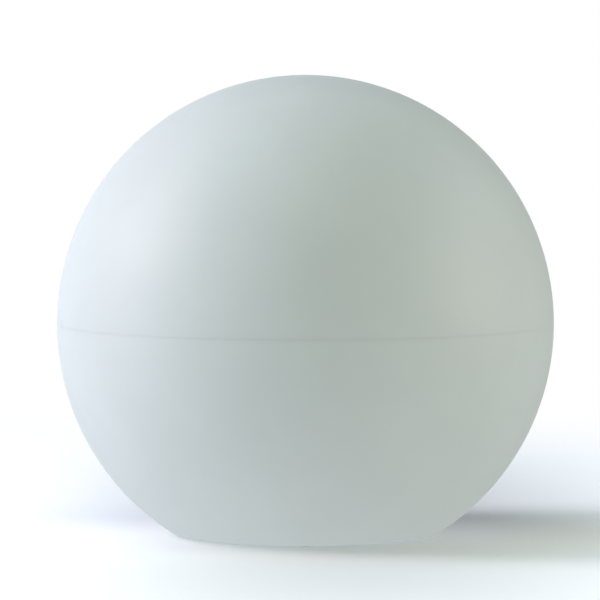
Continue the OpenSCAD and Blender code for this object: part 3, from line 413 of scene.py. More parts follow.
class Finish(Tree):
    """One material, with its shader and the place that its patterns are read at."""

    def __init__(self, name):
        self.material = bpy.data.materials.new(name)
        self.material.use_nodes = True
        super().__init__(self.material.node_tree)
        self.shader = self.tree.nodes["Principled BSDF"]
        self.place = self.add("TexCoord").outputs["Object"]
        self.relief = None

    def set(self, socket, value):
        self.feed(self.shader.inputs[socket], value)

    def start(self, colour, roughness, **constants):
        """The plain values, before any pattern is joined."""
        self.colour = colour
        self.set("Base Color", as_rgba(colour))
        self.set("Roughness", roughness)
        for key, value in constants.items():
            self.set(key.replace("_", " ").title().replace("Ior", "IOR"), value)

    def tone(self, factor):
        """The plain colour, darker or lighter."""
        return shade(self.colour, factor)

    def paint(self, share, under, over):
        """Base colour: one colour over another, where share is 1."""
        self.set("Base Color", self.mix(share, under, over))

    def rough(self, level, *masks):
        """Roughness: a level, and what each mask adds to it."""
        for mask, gain in masks:
            level = self.sum("ADD", level, self.times(mask, gain))
        self.set("Roughness", level)

    def raise_by(self, height, distance):
        """Adds a height field to the surface; distance is how high 1 stands, in metres."""
        inputs = {"Strength": 1.0, "Distance": distance, "Height": height}
        if self.relief is not None:
            inputs["Normal"] = self.relief
        self.relief = self.add("Bump", inputs).outputs[0]
        self.set("Normal", self.relief)

    def pattern(self, name, **inputs):
        """A group, read at the finish's own place."""
        return self.group(name, Vector=self.place, **inputs)

    def grain(self, size, distance):
        self.raise_by(self.pattern("Fine Grain", Size=size)["Height"], distance)

    def mottle(self, size, factor):
        """Clouds of the plain colour and a shade of it, as a colour and a mask."""
        found = self.pattern(
            "Soft Mottle", Size=size, Colour=self.colour, Other_Colour=self.tone(factor),
        )
        return found["Colour"], found["Mask"]

    def hairlines(self, reach, amount):
        return self.pattern("Hairlines", Length=reach, Amount=amount)["Mask"]

    def wear(self, radius, amount):
        return self.pattern("Edge Wear", Radius=radius, Amount=amount)["Mask"]

    def rings(self, pitch):
        return self.pattern("Turned Rings", Pitch=pitch)["Height"]

    def brushed(self, pitch, turn=0.0):
        """Brush marks along X, or turned round Z."""
        place = self.placed(self.place, turn=(0, 0, turn))
        return self.group("Brushed", Vector=place, Pitch=pitch)["Height"]


def globe_plastic(look, colours):
    """Rotation-moulded polyethylene: satin, milky, a slight peel, rubbed where it stands."""
    look.start(
        colours.globe, 0.40, ior=1.50, subsurface_weight=0.15,
        subsurface_radius=(0.0045, 0.0045, 0.0042), subsurface_scale=1.0,
    )
    clouds, cloud = look.mottle(0.055, 0.975)
    low = look.slope(look.parts(look.place)["Z"], 2 * MM, 16 * MM, 1.0, 0.0)
    scuffs = look.times(look.hairlines(0.02, 1.0), low)
    rubbed = look.most(scuffs, look.hairlines(0.05, 0.25))
    grazing = look.add("LayerWeight", {"Blend": 0.5}).outputs["Facing"]
    look.paint(look.times(scuffs, 0.2), clouds, look.tone(0.86))
    look.rough(0.45, (cloud, 0.04), (rubbed, 0.12), (look.slope(grazing, 0.45, 0.95), 0.5))
    look.grain(0.0055, 1.3e-5)
    look.grain(0.0007, 2.2e-6)
    look.raise_by(scuffs, -8e-6)


def body_plastic(look, colours):
    """Moulded plastic with a spark-eroded grain, polished at its edges."""
    look.start(colours.body, 0.46, ior=1.52)
    clouds, cloud = look.mottle(0.018, 0.95)
    scratches = look.hairlines(0.012, 0.6)
    edge = look.wear(0.0007, 0.7)
    look.paint(scratches, look.mix(edge, clouds, look.tone(1.12)), look.tone(0.86))
    look.rough(0.43, (cloud, 0.08), (edge, -0.14))
    look.grain(0.00032, 5e-6)
    look.raise_by(scratches, -6e-6)


def clear_plastic(look, colours):
    """Clear lens with a light frost, fine flow lines and a few hairlines."""
    look.start(colours.lens, 0.10, ior=1.49, transmission_weight=1.0)
    clouds, cloud = look.mottle(0.02, 0.97)
    look.set("Base Color", clouds)
    look.rough(0.07, (cloud, 0.07), (look.hairlines(0.010, 0.8), 0.25))
    look.raise_by(look.rings(0.0016), 8e-6)


def black_plastic(look, colours):
    """Glass-filled nylon: grey swirls, fine grain and greyed edges."""
    look.start(colours.black, 0.5, ior=1.53)
    clouds, cloud = look.mottle(0.006, 1.9)
    worn = look.mix(look.wear(0.0005, 0.5), clouds, (0.10, 0.10, 0.105))
    dust = look.pattern("Settled Dust", Amount=0.35)["Mask"]
    look.paint(dust, worn, (0.24, 0.23, 0.21))
    look.rough(0.42, (cloud, 0.16))
    look.grain(0.00022, 7e-6)


def grey_rubber(look, colours):
    """Matt rubber with talc in its grain and a rubbed edge."""
    look.start(colours.rubber, 0.78, ior=1.48)
    clouds, cloud = look.mottle(0.003, 1.7)
    worn = look.most(look.wear(0.0006, 0.8), look.hairlines(0.005, 0.7))
    look.paint(worn, clouds, (0.13, 0.132, 0.135))
    look.rough(0.70, (cloud, 0.18))
    look.grain(0.00018, 9e-6)


def silicone(look, colours):
    """Milky silicone with a soft skin and specks of lint."""
    look.start(
        colours.silicone, 0.42, ior=1.43, subsurface_weight=0.12,
        subsurface_radius=(0.0012, 0.0013, 0.0014), subsurface_scale=1.0,
    )
    clouds, cloud = look.mottle(0.004, 0.88)
    lint = look.slope(look.noise(look.place, 2600.0, 1.0), 0.72, 0.78)
    look.paint(look.times(lint, 0.5), clouds, (0.75, 0.76, 0.75))
    look.rough(0.36, (cloud, 0.16))
    look.grain(0.00035, 5e-6)


def foam(look, colours):
    """Open-cell foam: pale struts, with painted shade darkening the pores between them."""
    look.start(colours.foam, 0.95, ior=1.4, sheen_weight=0.15)
    pores = look.cells(look.place, 1150.0, feature="SMOOTH_F1")["Distance"]
    small = look.cells(look.place, 2600.0)["Distance"]
    depth = look.sum("ADD", look.times(pores, 0.7), look.times(small, 0.3))
    strut = look.slope(depth, 0.18, 0.55)
    # Painted light and shade: the pores are painted darker, where shade falls, and the raised
    # struts paler
    look.paint(strut, look.tone(0.35), look.tone(1.7))
    look.rough(0.88, (strut, 0.1))
    look.raise_by(strut, 1.6e-4)


def stainless_steel(look, colours):
    """Drawn stainless steel with hairlines and a dull bloom."""
    look.start(colours.steel, 0.26, metallic=1.0)
    clouds, cloud = look.mottle(0.004, 0.86)
    scratches = look.hairlines(0.006, 0.8)
    drawn = look.rings(0.00025)
    look.paint(scratches, clouds, look.tone(1.25))
    look.rough(0.17, (cloud, 0.12), (drawn, 0.12))
    look.raise_by(drawn, 2.5e-6)
    look.raise_by(scratches, -3e-6)


def ballast_steel(look, colours):
    """Zinc-coated steel: crystal spangle, turned faces, white bloom in patches."""
    look.start(colours.zinc, 0.4, metallic=1.0)
    crystal = look.cells(look.place, 420.0)["Color"]
    tone = look.add("SeparateColor", {0: crystal}).outputs[0]
    spangle = look.mix(tone, look.tone(0.88), look.tone(1.10))
    bloom = look.slope(look.noise(look.place, 60.0, 5.0, 0.6), 0.55, 0.72)
    look.paint(look.times(bloom, 0.5), spangle, (0.55, 0.56, 0.56))
    look.set("Metallic", look.sum("SUBTRACT", 1.0, look.times(bloom, 0.45)))
    look.rough(0.26, (tone, 0.14), (bloom, 0.3))
    look.raise_by(look.rings(0.0004), 6e-6)
    look.raise_by(look.noise(look.place, 700.0, 3.0), 8e-6)


def out_from_cells(look):
    """Distance from the nearest cell's axis, in metres; the three cells lie along X."""
    at = look.parts(look.place)
    pitch = (cells_box[1].y - cells_box[0].y) / 3 + 0.1 * MM
    middle = (cells_box[0].z + cells_box[1].z) / 2
    # PINGPONG folds the row of cells onto one; whole pitches are added so that Y stays above 0
    side = look.sum("PINGPONG", look.sum("ADD", at["Y"], 50 * pitch), pitch / 2)
    up = look.sum("SUBTRACT", at["Z"], middle)
    return look.measure("LENGTH", look.vector(0.0, side, up))


def nickel_strip(look, colours):
    """Nickel strip with spot welds over each cell's end."""
    look.start(colours.nickel, 0.28, metallic=1.0)
    out = out_from_cells(look)
    weld = look.times(
        look.slope(out, 1.3 * MM, 1.6 * MM), look.slope(out, 2.3 * MM, 2.6 * MM, 1.0, 0.0)
    )
    brushed = look.brushed(0.00012, math.pi / 2)
    look.paint(look.times(weld, 0.6), look.mottle(0.003, 0.85)[0], look.tone(0.5))
    look.rough(0.2, (brushed, 0.2))
    look.raise_by(brushed, 2e-6)
    look.raise_by(weld, -3e-5)


def aluminium_sheet(look, colours):
    """Brushed aluminium sheet."""
    look.start(colours.aluminium, 0.32, metallic=1.0)
    brushed = look.brushed(0.00016)
    streaks = look.mix(brushed, look.tone(0.84), look.tone(1.1))
    look.paint(look.hairlines(0.012, 0.7), streaks, look.tone(1.2))
    look.rough(0.24, (brushed, 0.18))
    look.raise_by(brushed, 3e-6)


def cell_wrap(look, colours):
    """Shrink wrap over a steel can, whose ends show inside the wrap's curled edge."""
    look.start(colours.wrap, 0.3, ior=1.54)
    end = look.slope(look.sum("ABSOLUTE", look.facing()["X"]), 0.6, 0.8)
    can = look.times(end, look.slope(out_from_cells(look), 7.4 * MM, 7.6 * MM, 1.0, 0.0))
    creases = look.noise(look.placed(look.place, scale=(60.0, 260.0, 260.0)), 1.0, 3.0)
    look.paint(can, look.mottle(0.008, 0.8)[0], (0.62, 0.61, 0.58))
    look.set("Metallic", can)
    look.rough(0.24, (creases, 0.14))
    look.raise_by(creases, 3e-5)


def led_package(look, colours):
    """Moulded frame of a lamp package."""
    look.start(colours.ceramic, 0.4, ior=1.55)
    clouds, cloud = look.mottle(0.0012, 0.92)
    look.set("Base Color", clouds)
    look.rough(0.34, (cloud, 0.12))
    look.grain(0.00012, 3e-6)


def led_phosphor(look, colours):
    """Phosphor in clear resin: a grainy yellow under a soft gloss."""
    look.start(colours.phosphor, 0.32, ior=1.53)
    speck = look.noise(look.place, 9000.0, 2.0)
    look.paint(look.slope(speck, 0.35, 0.65), look.tone(0.82), colours.phosphor)
    look.rough(0.24, (speck, 0.2))
    look.grain(0.0004, 6e-6)


def board_finish(look, colours, mask_colour, pitch, rise):
    """Masked circuit board: tracks under the mask, plated holes and a bare laminate edge."""
    look.start(mask_colour, 0.32, ior=1.55)
    found = look.pattern("Board Tracks", Pitch=pitch)
    clouds, cloud = look.mottle(0.01, 0.9)
    over_tracks = look.mix(look.times(found["Tracks"], 0.7), clouds, look.tone(rise))
    face = look.slope(look.sum("ABSOLUTE", look.facing()["Z"]), 0.5, 0.8)
    plated = look.times(found["Holes"], face)
    fibre = look.noise(look.placed(look.place, scale=(500.0, 500.0, 4200.0)), 1.0, 2.0)
    laminate = look.mix(fibre, shade(colours.laminate, 0.75), shade(colours.laminate, 1.2))
    look.paint(face, laminate, look.mix(plated, over_tracks, colours.copper))
    look.set("Metallic", plated)
    look.rough(look.slope(face, 0.0, 1.0, 0.75, 0.3), (cloud, 0.07))
    look.raise_by(look.times(found["Tracks"], face), 3.5e-5)
    look.raise_by(plated, -5e-5)


def white_mask(look, colours):
    board_finish(look, colours, colours.white_mask, 0.0055, 0.93)


def green_mask(look, colours):
    board_finish(look, colours, colours.green_mask, 0.0034, 1.9)


# Middles of what is soldered to the control board, in millimetres across it
PLUG_PLACES = ((24, 8), (-24, -8), (22, -7.1))
CAN_PLACES = ((0, -12), (17, 12))
CHIP_PLACES = (
    *((x, 19) for x in range(-18, 0, 4)),
    *((x, -20) for x in range(2, 16, 4)),
)


def on_parts(look, places, half_wide, half_deep):
    """1 over the parts of one size on the control board; places and sizes in millimetres."""
    at = look.parts(look.place)
    found = 0.0
    for x, y in places:
        in_x = look.sum("COMPARE", at["X"], x * MM, half_wide * MM)
        in_y = look.sum("COMPARE", at["Y"], y * MM, half_deep * MM)
        found = look.most(found, look.times(in_x, in_y))
    return found


def soldered_parts(look, colours):
    """Black packages, white plugs, bright capacitor cans and small chips with tinned ends."""
    look.start(colours.black, 0.5, ior=1.53)
    clouds, cloud = look.mottle(0.004, 1.7)
    plug = on_parts(look, PLUG_PLACES, 3.6, 3.1)
    can = on_parts(look, CAN_PLACES, 3.3, 3.3)
    chip = on_parts(look, CHIP_PLACES, 1.1, 0.7)
    chip_middle = on_parts(look, CHIP_PLACES, 0.6, 0.7)
    metal = look.most(can, look.sum("SUBTRACT", chip, chip_middle))
    with_plugs = look.mix(plug, clouds, shade(colours.film, 0.9))
    look.paint(metal, with_plugs, shade(colours.nickel, 0.95))
    look.set("Metallic", metal)
    look.rough(0.45, (cloud, 0.12), (metal, -0.18))
    look.grain(0.0002, 5e-6)


def white_film(look, colours):
    """Matt white film with faint fibres."""
    look.start(colours.film, 0.55, ior=1.5)
    fibre = look.noise(look.placed(look.place, scale=(900.0, 2600.0, 900.0)), 1.0, 3.0)
    look.paint(look.times(fibre, 0.2), look.mottle(0.02, 0.96)[0], look.tone(0.9))
    look.rough(0.48, (fibre, 0.12))
    look.raise_by(fibre, 3e-6)


def insulation(look, colour):
    """Extruded insulation: a soft gloss, fine grain and dull patches."""
    look.start(colour, 0.34, ior=1.52)
    clouds, cloud = look.mottle(0.004, 0.78)
    look.set("Base Color", clouds)
    look.rough(0.28, (cloud, 0.18))
    look.grain(0.0005, 6e-6)


def red_wire(look, colours):
    insulation(look, colours.red_wire)


def black_wire(look, colours):
    insulation(look, colours.black_wire)


def finish_of(make):
    """The material that a finish function makes, made once and named after it."""
    found = bpy.data.materials.get(make.__name__)
    if found is None:
        finish = Finish(make.__name__)
        make(finish, settings()[1])
        found = finish.material
    return found


def clear_plain_colours():
    """Takes away the flat colours of the CAD nodes, so that their names are free."""
    for plain in list(bpy.data.materials):
        bpy.data.materials.remove(plain)


# ---------------------------------------------------------------- mesh helpers


class Outline:
    """Draws half a section in the XZ plane with bmesh operators, for a spin round Z."""

    def __init__(self, mesh, x, z):
        self.mesh = mesh
        self.first = self.last = mesh.verts.new((x, 0.0, z))

    def to(self, x, z):
        """A straight line to a point."""
        step = bmesh.ops.extrude_vert_indiv(self.mesh, verts=[self.last])
        self.last = step["verts"][0]
        self.last.co = (x, 0.0, z)
        return self

    def arc(self, x, z, turn, steps):
        """An arc round a centre; a positive turn goes from X towards -Z."""
        swept = spin(self.mesh, [self.last], turn, steps, centre=(x, 0, z), axis=(0, 1, 0))
        self.last = next(vertices_of(swept["geom_last"]))
        return self

    def close(self):
        self.mesh.edges.new((self.last, self.first))


def vertices_of(geometry):
    return (item for item in geometry if isinstance(item, bmesh.types.BMVert))


def move(mesh, x=0.0, y=0.0, z=0.0):
    bmesh.ops.translate(mesh, verts=list(mesh.verts), vec=(x, y, z))


def round_off(mesh, geometry, width, affect="EDGES"):
    bmesh.ops.bevel(
        mesh, geom=geometry, offset=width, segments=2, profile=0.5, affect=affect, material=-1,
    )


def face_outward(mesh):
    bmesh.ops.recalc_face_normals(mesh, faces=list(mesh.faces))


def spin(mesh, geometry, turn, steps, centre=(0, 0, 0), axis=(0, 0, 1), rise=0.0, merge=False):
    """Sweeps geometry round an axis, while it rises along Z."""
    return bmesh.ops.spin(
        mesh, geom=geometry, cent=centre, axis=axis, dvec=(0, 0, rise / steps), angle=turn,
        steps=steps, use_merge=merge, use_normal_flip=False, use_duplicate=False,
    )


def spin_round(mesh, steps):
    """Turns everything drawn so far into a solid round Z."""
    spin(mesh, list(mesh.verts) + list(mesh.edges), 2 * math.pi, steps, merge=True)
    bmesh.ops.remove_doubles(mesh, verts=list(mesh.verts), dist=1e-7)
    face_outward(mesh)


def copies_round(mesh, count, start=0.0):
    """Copies of everything, evenly round Z, all turned by a start angle."""
    geometry = list(mesh.verts) + list(mesh.edges) + list(mesh.faces)
    for index in range(1, count):
        copy = bmesh.ops.duplicate(mesh, geom=geometry)
        turn = Matrix.Rotation(index * 2 * math.pi / count, 3, "Z")
        turned = list(vertices_of(copy["geom"]))
        bmesh.ops.rotate(mesh, verts=turned, cent=(0, 0, 0), matrix=turn)
    if start:
        turn = Matrix.Rotation(start, 3, "Z")
        bmesh.ops.rotate(mesh, verts=list(mesh.verts), cent=(0, 0, 0), matrix=turn)


def new_object(name, mesh):
    """An object from a bmesh, at the origin, shaded smooth."""
    data = bpy.data.meshes.new(name)
    for face in mesh.faces:
        face.smooth = True
    mesh.to_mesh(data)
    mesh.free()
    piece = bpy.data.objects.new(name, data)
    bpy.context.scene.collection.objects.link(piece)
    return piece


def join_into(mesh, other):
    """Copies another bmesh into this one."""
    data = bpy.data.meshes.new("part")
    other.to_mesh(data)
    other.free()
    mesh.from_mesh(data)
    bpy.data.meshes.remove(data)


def cut_away(piece, cutter):
    """Takes the cutter's shape out of a piece, for good."""
    cut = piece.modifiers.new("cut", "BOOLEAN")
    put(cut, operation="DIFFERENCE", solver="EXACT", object=cutter)
    bpy.context.view_layer.update()
    shaped = piece.evaluated_get(bpy.context.evaluated_depsgraph_get())
    result = bpy.data.meshes.new_from_object(shaped)
    piece.modifiers.remove(cut)
    old = piece.data
    piece.data = result
    bpy.data.meshes.remove(old)
    bpy.data.objects.remove(cutter)


# Points closer than this are one, faces within this angle are one flat face, and edges over the
# other angle are rounded
MERGE_WITHIN = 2e-6
FLAT_WITHIN = math.radians(0.4)
SHARP_OVER = math.radians(32)


def soften(piece, edge, segments=2, merge=True):
    """Rounds the sharp edges of a piece and keeps its flat faces flat."""
    for face in piece.data.polygons:
        face.use_smooth = True
    add = piece.modifiers.new
    if merge:
        put(add("merge", "WELD"), merge_threshold=MERGE_WITHIN)
        flat = add("flat faces", "DECIMATE")
        put(flat, decimate_type="DISSOLVE", angle_limit=FLAT_WITHIN, delimit={"NORMAL"})
    if edge:
        bevel = put(add("soft edges", "BEVEL"), width=edge, segments=segments)
        put(bevel, limit_method="ANGLE", angle_limit=SHARP_OVER)
    put(add("faces", "TRIANGULATE"), keep_custom_normals=True)
    put(add("even shading", "WEIGHTED_NORMAL"), mode="FACE_AREA", weight=100)


def dress(node, make, edge, segments=2):
    """Gives a CAD node its finish and soft edges."""
    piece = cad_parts[node]
    piece.data.materials.clear()
    piece.data.materials.append(finish_of(make))
    soften(piece, edge, segments)


def add_piece(piece, makes, body, slot, *nodes):
    """Gives a new piece its finishes and its body, and hides the nodes that it stands for."""
    for make in makes:
        piece.data.materials.append(finish_of(make))
    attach(piece, body)
    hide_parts(*nodes)


# ---------------------------------------------------------------- operators

# Steps of the shells round Z, of the neck's thread and of one turn of the spring, and the sides of
# the spring's wire
ROUND_STEPS = 192
THREAD_STEPS = 88
TURN_STEPS = 32
WIRE_SIDES = 14
# Angle over which both ends of the thread fade into the wall, in degrees
THREAD_FADE = 18.0
# How far the fittings of the neck and the floor are sunk into them
SUNK = 0.5 * MM
THREAD_SUNK = 0.4 * MM
BOSS_SUNK = 1 * MM
# How far a rib stops short of the recess's wall and of the neck's top, its width at the top and
# the rounding of its edges
RIB_SHORT = 1 * MM
RIB_LOWER = 3 * MM
RIB_TOP = 1.5 * MM
RIB_ROUND = 0.25 * MM
# Height of the thread's lower end over the seat, half of its flat crest as a share of its width,
# and the rounding of the crest
THREAD_START = 5.5 * MM
CREST_SHARE = 0.3
CREST_ROUND = 0.3 * MM
# Gap between a foot and its pocket, how far a boss ends under the ballast ring's top, and its bore
FOOT_GAP = 0.2 * MM
BOSS_GAP = 0.2 * MM
BOSS_BORE = 1.55 * MM
# Lamp packages: side, rounding of the upright edges, width and rise in millimetres of the frame's
# rim, of the cup's wall and of the domed phosphor, and number, radius and first angle of each ring
LAMP_SIDE = 5 * MM
LAMP_ROUND = 0.35 * MM
CUP_STEPS = ((0.45, 0.0), (0.3, -0.4), (0.5, 0.08))
LAMP_RINGS = ((12, 29 * MM, math.pi / 12), (6, 14.5 * MM, 0.0))


class GlobeLightOperator(Operator):
    """Makes new shapes, if any, and gives CAD nodes their finishes."""

    bl_options = {"REGISTER", "UNDO"}
    # Rows of node, finish, edge rounding in millimetres and, where it isn't 2, its segments
    nodes = ()

    def make(self, shell, stage):
        """New shapes; most operators have none."""

    def execute(self, context):
        shell, _, stage = settings()
        self.make(shell, stage)
        for node, make, edge, *segments in self.nodes:
            dress(node, make, edge * MM, *segments)
        return {"FINISHED"}


def seam_band(shell):
    """Inner radius, radius inside the seam's band, and height and radius of the band's end."""
    inner = shell.radius - shell.wall
    end = shell.rim_height + shell.rim_taper
    return inner, inner - shell.rim_depth, end, math.sqrt(inner**2 - end**2)


def ring_bore():
    """Inner radius of the ballast ring."""
    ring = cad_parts["ballast_ring"].data.vertices
    return min(math.hypot(vert.co.x, vert.co.y) for vert in ring)


class GLOBE_LIGHT_OT_upper_shell(GlobeLightOperator):
    """Make the upper half of the globe, with the groove in its seam"""

    bl_idname = "globe_light.upper_shell"
    bl_label = "Upper Shell"

    def make(self, shell, stage):
        mesh = bmesh.new()
        seam = shell.centre_z
        inner, band, end, reach = seam_band(shell)
        half = shell.tongue_width / 2 + shell.tongue_gap
        deep = seam + shell.tongue_height + shell.tongue_gap
        line = Outline(mesh, 0.0, seam + shell.radius)
        line.arc(0.0, seam, math.pi / 2, steps=84)
        line.to(inner + half, seam).to(inner + half, deep)
        line.to(inner - half, deep).to(inner - half, seam)
        line.to(band, seam).to(band, seam + shell.rim_height).to(reach, seam + end)
        line.arc(0.0, seam, math.atan2(end, reach) - math.pi / 2, steps=48)
        line.last.co.x = 0.0
        spin_round(mesh, ROUND_STEPS)
        piece = new_object("globe_upper_shell", mesh)
        soften(piece, shell.edge_soft, merge=False)
        add_piece(piece, [globe_plastic], "globe", "globe_plastic", "upper_shell")


class GLOBE_LIGHT_OT_lower_shell(GlobeLightOperator):
    """Make the lower half of the globe, with its flat, recess, ribbed neck, thread and bosses"""

    bl_idname = "globe_light.lower_shell"
    bl_label = "Lower Shell"

    def bowl(self, shell):
        mesh = bmesh.new()
        seam = shell.centre_z
        inner, band, end, reach = seam_band(shell)
        half = shell.tongue_width / 2
        round_z = shell.base_z + shell.edge_round
        round_x = math.sqrt((shell.radius - shell.edge_round) ** 2 - (seam - round_z) ** 2)
        down = math.atan2(seam - round_z, round_x)
        floor_top = shell.base_z + shell.wall
        recess_out = shell.recess_radius + shell.wall
        seat_top = shell.seat_z + shell.wall
        neck_out = shell.neck_radius + shell.wall
        neck_top = shell.seat_z + shell.neck_height
        line = Outline(mesh, shell.radius, seam)
        line.arc(0.0, seam, down, steps=60).arc(round_x, round_z, math.pi / 2 - down, steps=14)
        line.to(shell.recess_radius, shell.base_z).to(shell.recess_radius, shell.seat_z)
        line.to(shell.neck_radius, shell.seat_z).to(shell.neck_radius, neck_top)
        line.to(neck_out, neck_top).to(neck_out, seat_top)
        line.to(recess_out, seat_top).to(recess_out, floor_top).to(round_x, floor_top)
        line.arc(round_x, round_z, down - math.pi / 2, steps=10)
        line.arc(0.0, seam, math.atan2(end, reach) - down, steps=36)
        line.to(band, seam - shell.rim_height).to(band, seam)
        line.to(inner - half, seam).to(inner - half, seam + shell.tongue_height)
        line.to(inner + half, seam + shell.tongue_height).to(inner + half, seam).close()
        spin_round(mesh, ROUND_STEPS)
        return new_object("globe_lower_shell", mesh)

    def foot_pockets(self, shell):
        mesh = bmesh.new()
        cutter_depth = 10 * MM
        out = feet_box[1].x - shell.foot_radius + FOOT_GAP
        middle = (out, 0.0, feet_box[1].z - cutter_depth / 2)
        bmesh.ops.create_cone(
            mesh, cap_ends=True, cap_tris=False, segments=64, radius1=shell.foot_radius,
            radius2=shell.foot_radius, depth=cutter_depth, matrix=Matrix.Translation(middle),
        )
        copies_round(mesh, 4)
        return new_object("foot_pockets", mesh)

    def ribs(self, shell):
        mesh = bmesh.new()
        out = shell.neck_radius + shell.wall - SUNK
        low = shell.seat_z + shell.wall - SUNK
        foot = shell.recess_radius + shell.wall - RIB_SHORT
        top = shell.seat_z + shell.neck_height - RIB_LOWER
        points = ((out, low), (foot, low), (out + RIB_TOP, top), (out, top))
        side = mesh.faces.new([mesh.verts.new((x, -shell.rib_width / 2, z)) for x, z in points])
        grown = bmesh.ops.extrude_face_region(mesh, geom=[side])
        moved = list(vertices_of(grown["geom"]))
        bmesh.ops.translate(mesh, verts=moved, vec=(0.0, shell.rib_width, 0.0))
        round_off(mesh, list(mesh.edges), RIB_ROUND)
        copies_round(mesh, shell.rib_count)
        face_outward(mesh)
        return mesh

    def thread(self, shell):
        mesh = bmesh.new()
        root = shell.neck_radius + THREAD_SUNK
        crest = shell.neck_radius - shell.thread_depth
        low = shell.seat_z + THREAD_START
        half, flat = shell.thread_width / 2, shell.thread_width * CREST_SHARE
        rise = shell.thread_lead * shell.thread_turn / (2 * math.pi)
        points = ((root, low - half), (crest, low - flat), (crest, low + flat), (root, low + half))
        corners = [mesh.verts.new((x, 0.0, z)) for x, z in points]
        mesh.faces.new(corners)
        round_off(mesh, corners[1:3], CREST_ROUND, "VERTICES")
        spin(mesh, list(mesh.faces), shell.thread_turn, THREAD_STEPS, rise=rise)
        whole = math.degrees(shell.thread_turn)
        for vert in mesh.verts:
            turned = math.degrees(math.atan2(vert.co.y, vert.co.x)) % 360.0
            # The first section can come out a hair under a full turn
            if turned > 359.0:
                turned = 0.0
            share = min(1.0, turned / THREAD_FADE, (whole - turned) / THREAD_FADE)
            out = math.hypot(vert.co.x, vert.co.y)
            scale = (root + (out - root) * max(0.0, share)) / out
            bmesh.ops.scale(mesh, verts=[vert], vec=(scale, scale, 1.0))
        copies_round(mesh, shell.thread_starts)
        face_outward(mesh)
        return mesh

    def bosses(self, shell):
        mesh = bmesh.new()
        floor_top = shell.base_z + shell.wall
        low, bore_end = floor_top - BOSS_SUNK, floor_top + BOSS_SUNK
        top = ballast_box[1].z - BOSS_GAP
        line = Outline(mesh, 0.0, bore_end)
        line.to(BOSS_BORE, bore_end).to(BOSS_BORE, top).to(shell.boss_radius, top)
        line.to(shell.boss_radius, low).to(0.0, low)
        spin_round(mesh, 40)
        move(mesh, x=(ballast_box[1].x + ring_bore()) / 2)
        copies_round(mesh, 4, math.pi / 4)
        return mesh

    def make(self, shell, stage):
        piece = self.bowl(shell)
        cut_away(piece, self.foot_pockets(shell))
        mesh = bmesh.new()
        mesh.from_mesh(piece.data)
        for part in (self.ribs(shell), self.thread(shell), self.bosses(shell)):
            join_into(mesh, part)
        for face in mesh.faces:
            face.smooth = True
        mesh.to_mesh(piece.data)
        mesh.free()
        soften(piece, shell.edge_soft, merge=False)
        add_piece(piece, [globe_plastic], "globe", "globe_plastic", "lower_shell")


class GLOBE_LIGHT_OT_weights_and_feet(GlobeLightOperator):
    """Finish the ballast ring, the rubber feet and the neck's seal"""

    bl_idname = "globe_light.weights_and_feet"
    bl_label = "Ballast, Feet and Seal"
    nodes = (
        ("ballast_ring", ballast_steel, 0.3),
        ("rubber_feet", grey_rubber, 0.2),
        ("neck_seal", silicone, 0.0),
    )


class GLOBE_LIGHT_OT_base_plate(GlobeLightOperator):
    """Finish the base plate with its pocket and hinge lugs, and its gasket"""

    bl_idname = "globe_light.base_plate"
    bl_label = "Base Plate"
    nodes = (("base_plate", body_plastic, 0.22), ("plate_gasket", silicone, 0.1))


class GLOBE_LIGHT_OT_housing(GlobeLightOperator):
    """Finish the threaded housing"""

    bl_idname = "globe_light.housing"
    bl_label = "Housing"
    nodes = (("housing", body_plastic, 0.2),)


class GLOBE_LIGHT_OT_lens(GlobeLightOperator):
    """Finish the domed lens and its gasket"""

    bl_idname = "globe_light.lens"
    bl_label = "Lens"
    nodes = (("dome_lens", clear_plastic, 0.15), ("lens_gasket", silicone, 0.1))


class GLOBE_LIGHT_OT_light_board(GlobeLightOperator):
    """Make the lamps and finish the light board, its sheet and its heat spreader"""

    bl_idname = "globe_light.light_board"
    bl_label = "Light Board"
    nodes = (
        ("light_board", white_mask, 0.08),
        ("reflector_sheet", white_film, 0.06),
        ("heat_spreader", aluminium_sheet, 0.1),
    )

    def lamp(self):
        """One lamp package: a square frame with a round cup of phosphor."""
        mesh = bmesh.new()
        height = led_box[1].z - led_box[0].z
        size = Matrix.Diagonal((LAMP_SIDE, LAMP_SIDE, height, 1.0))
        bmesh.ops.create_cube(mesh, size=1.0, matrix=size)
        move(mesh, z=led_box[0].z + height / 2)
        upright = [e for e in mesh.edges if abs(e.verts[0].co.z - e.verts[1].co.z) > height / 2]
        round_off(mesh, upright, LAMP_ROUND)
        top = max(mesh.faces, key=lambda face: face.calc_center_median().z)
        for width, rise in CUP_STEPS:
            bmesh.ops.inset_region(mesh, faces=[top], thickness=width * MM, depth=rise * MM)
        for face in mesh.faces:
            if face.normal.z > 0.8 and face.calc_center_median().z < led_box[1].z - 0.2 * MM:
                face.material_index = 1
        return mesh

    def make(self, shell, stage):
        mesh = bmesh.new()
        for copies, radius, start in LAMP_RINGS:
            ring = self.lamp()
            move(ring, x=radius)
            copies_round(ring, copies, start)
            join_into(mesh, ring)
        piece = new_object("led_packages", mesh)
        soften(piece, 0.0, merge=False)
        add_piece(piece, [led_package, led_phosphor], "light_module", "led_package", "led_chips")


class GLOBE_LIGHT_OT_battery(GlobeLightOperator):
    """Finish the cells, their cradle, foam and strips"""

    bl_idname = "globe_light.battery"
    bl_label = "Battery"
    nodes = (
        ("battery_cells", cell_wrap, 0.4, 3),
        ("battery_cradle", black_plastic, 0.2),
        ("cell_foam", foam, 0.4),
        ("cell_strips", nickel_strip, 0.03),
    )


class GLOBE_LIGHT_OT_control_board(GlobeLightOperator):
    """Finish the control board, what is soldered to it and its switch"""

    bl_idname = "globe_light.control_board"
    bl_label = "Control Board"
    nodes = (
        ("control_board", green_mask, 0.08),
        ("board_components", soldered_parts, 0.12),
        ("switch_body", black_plastic, 0.12),
        ("switch_plunger", white_film, 0.1),
    )


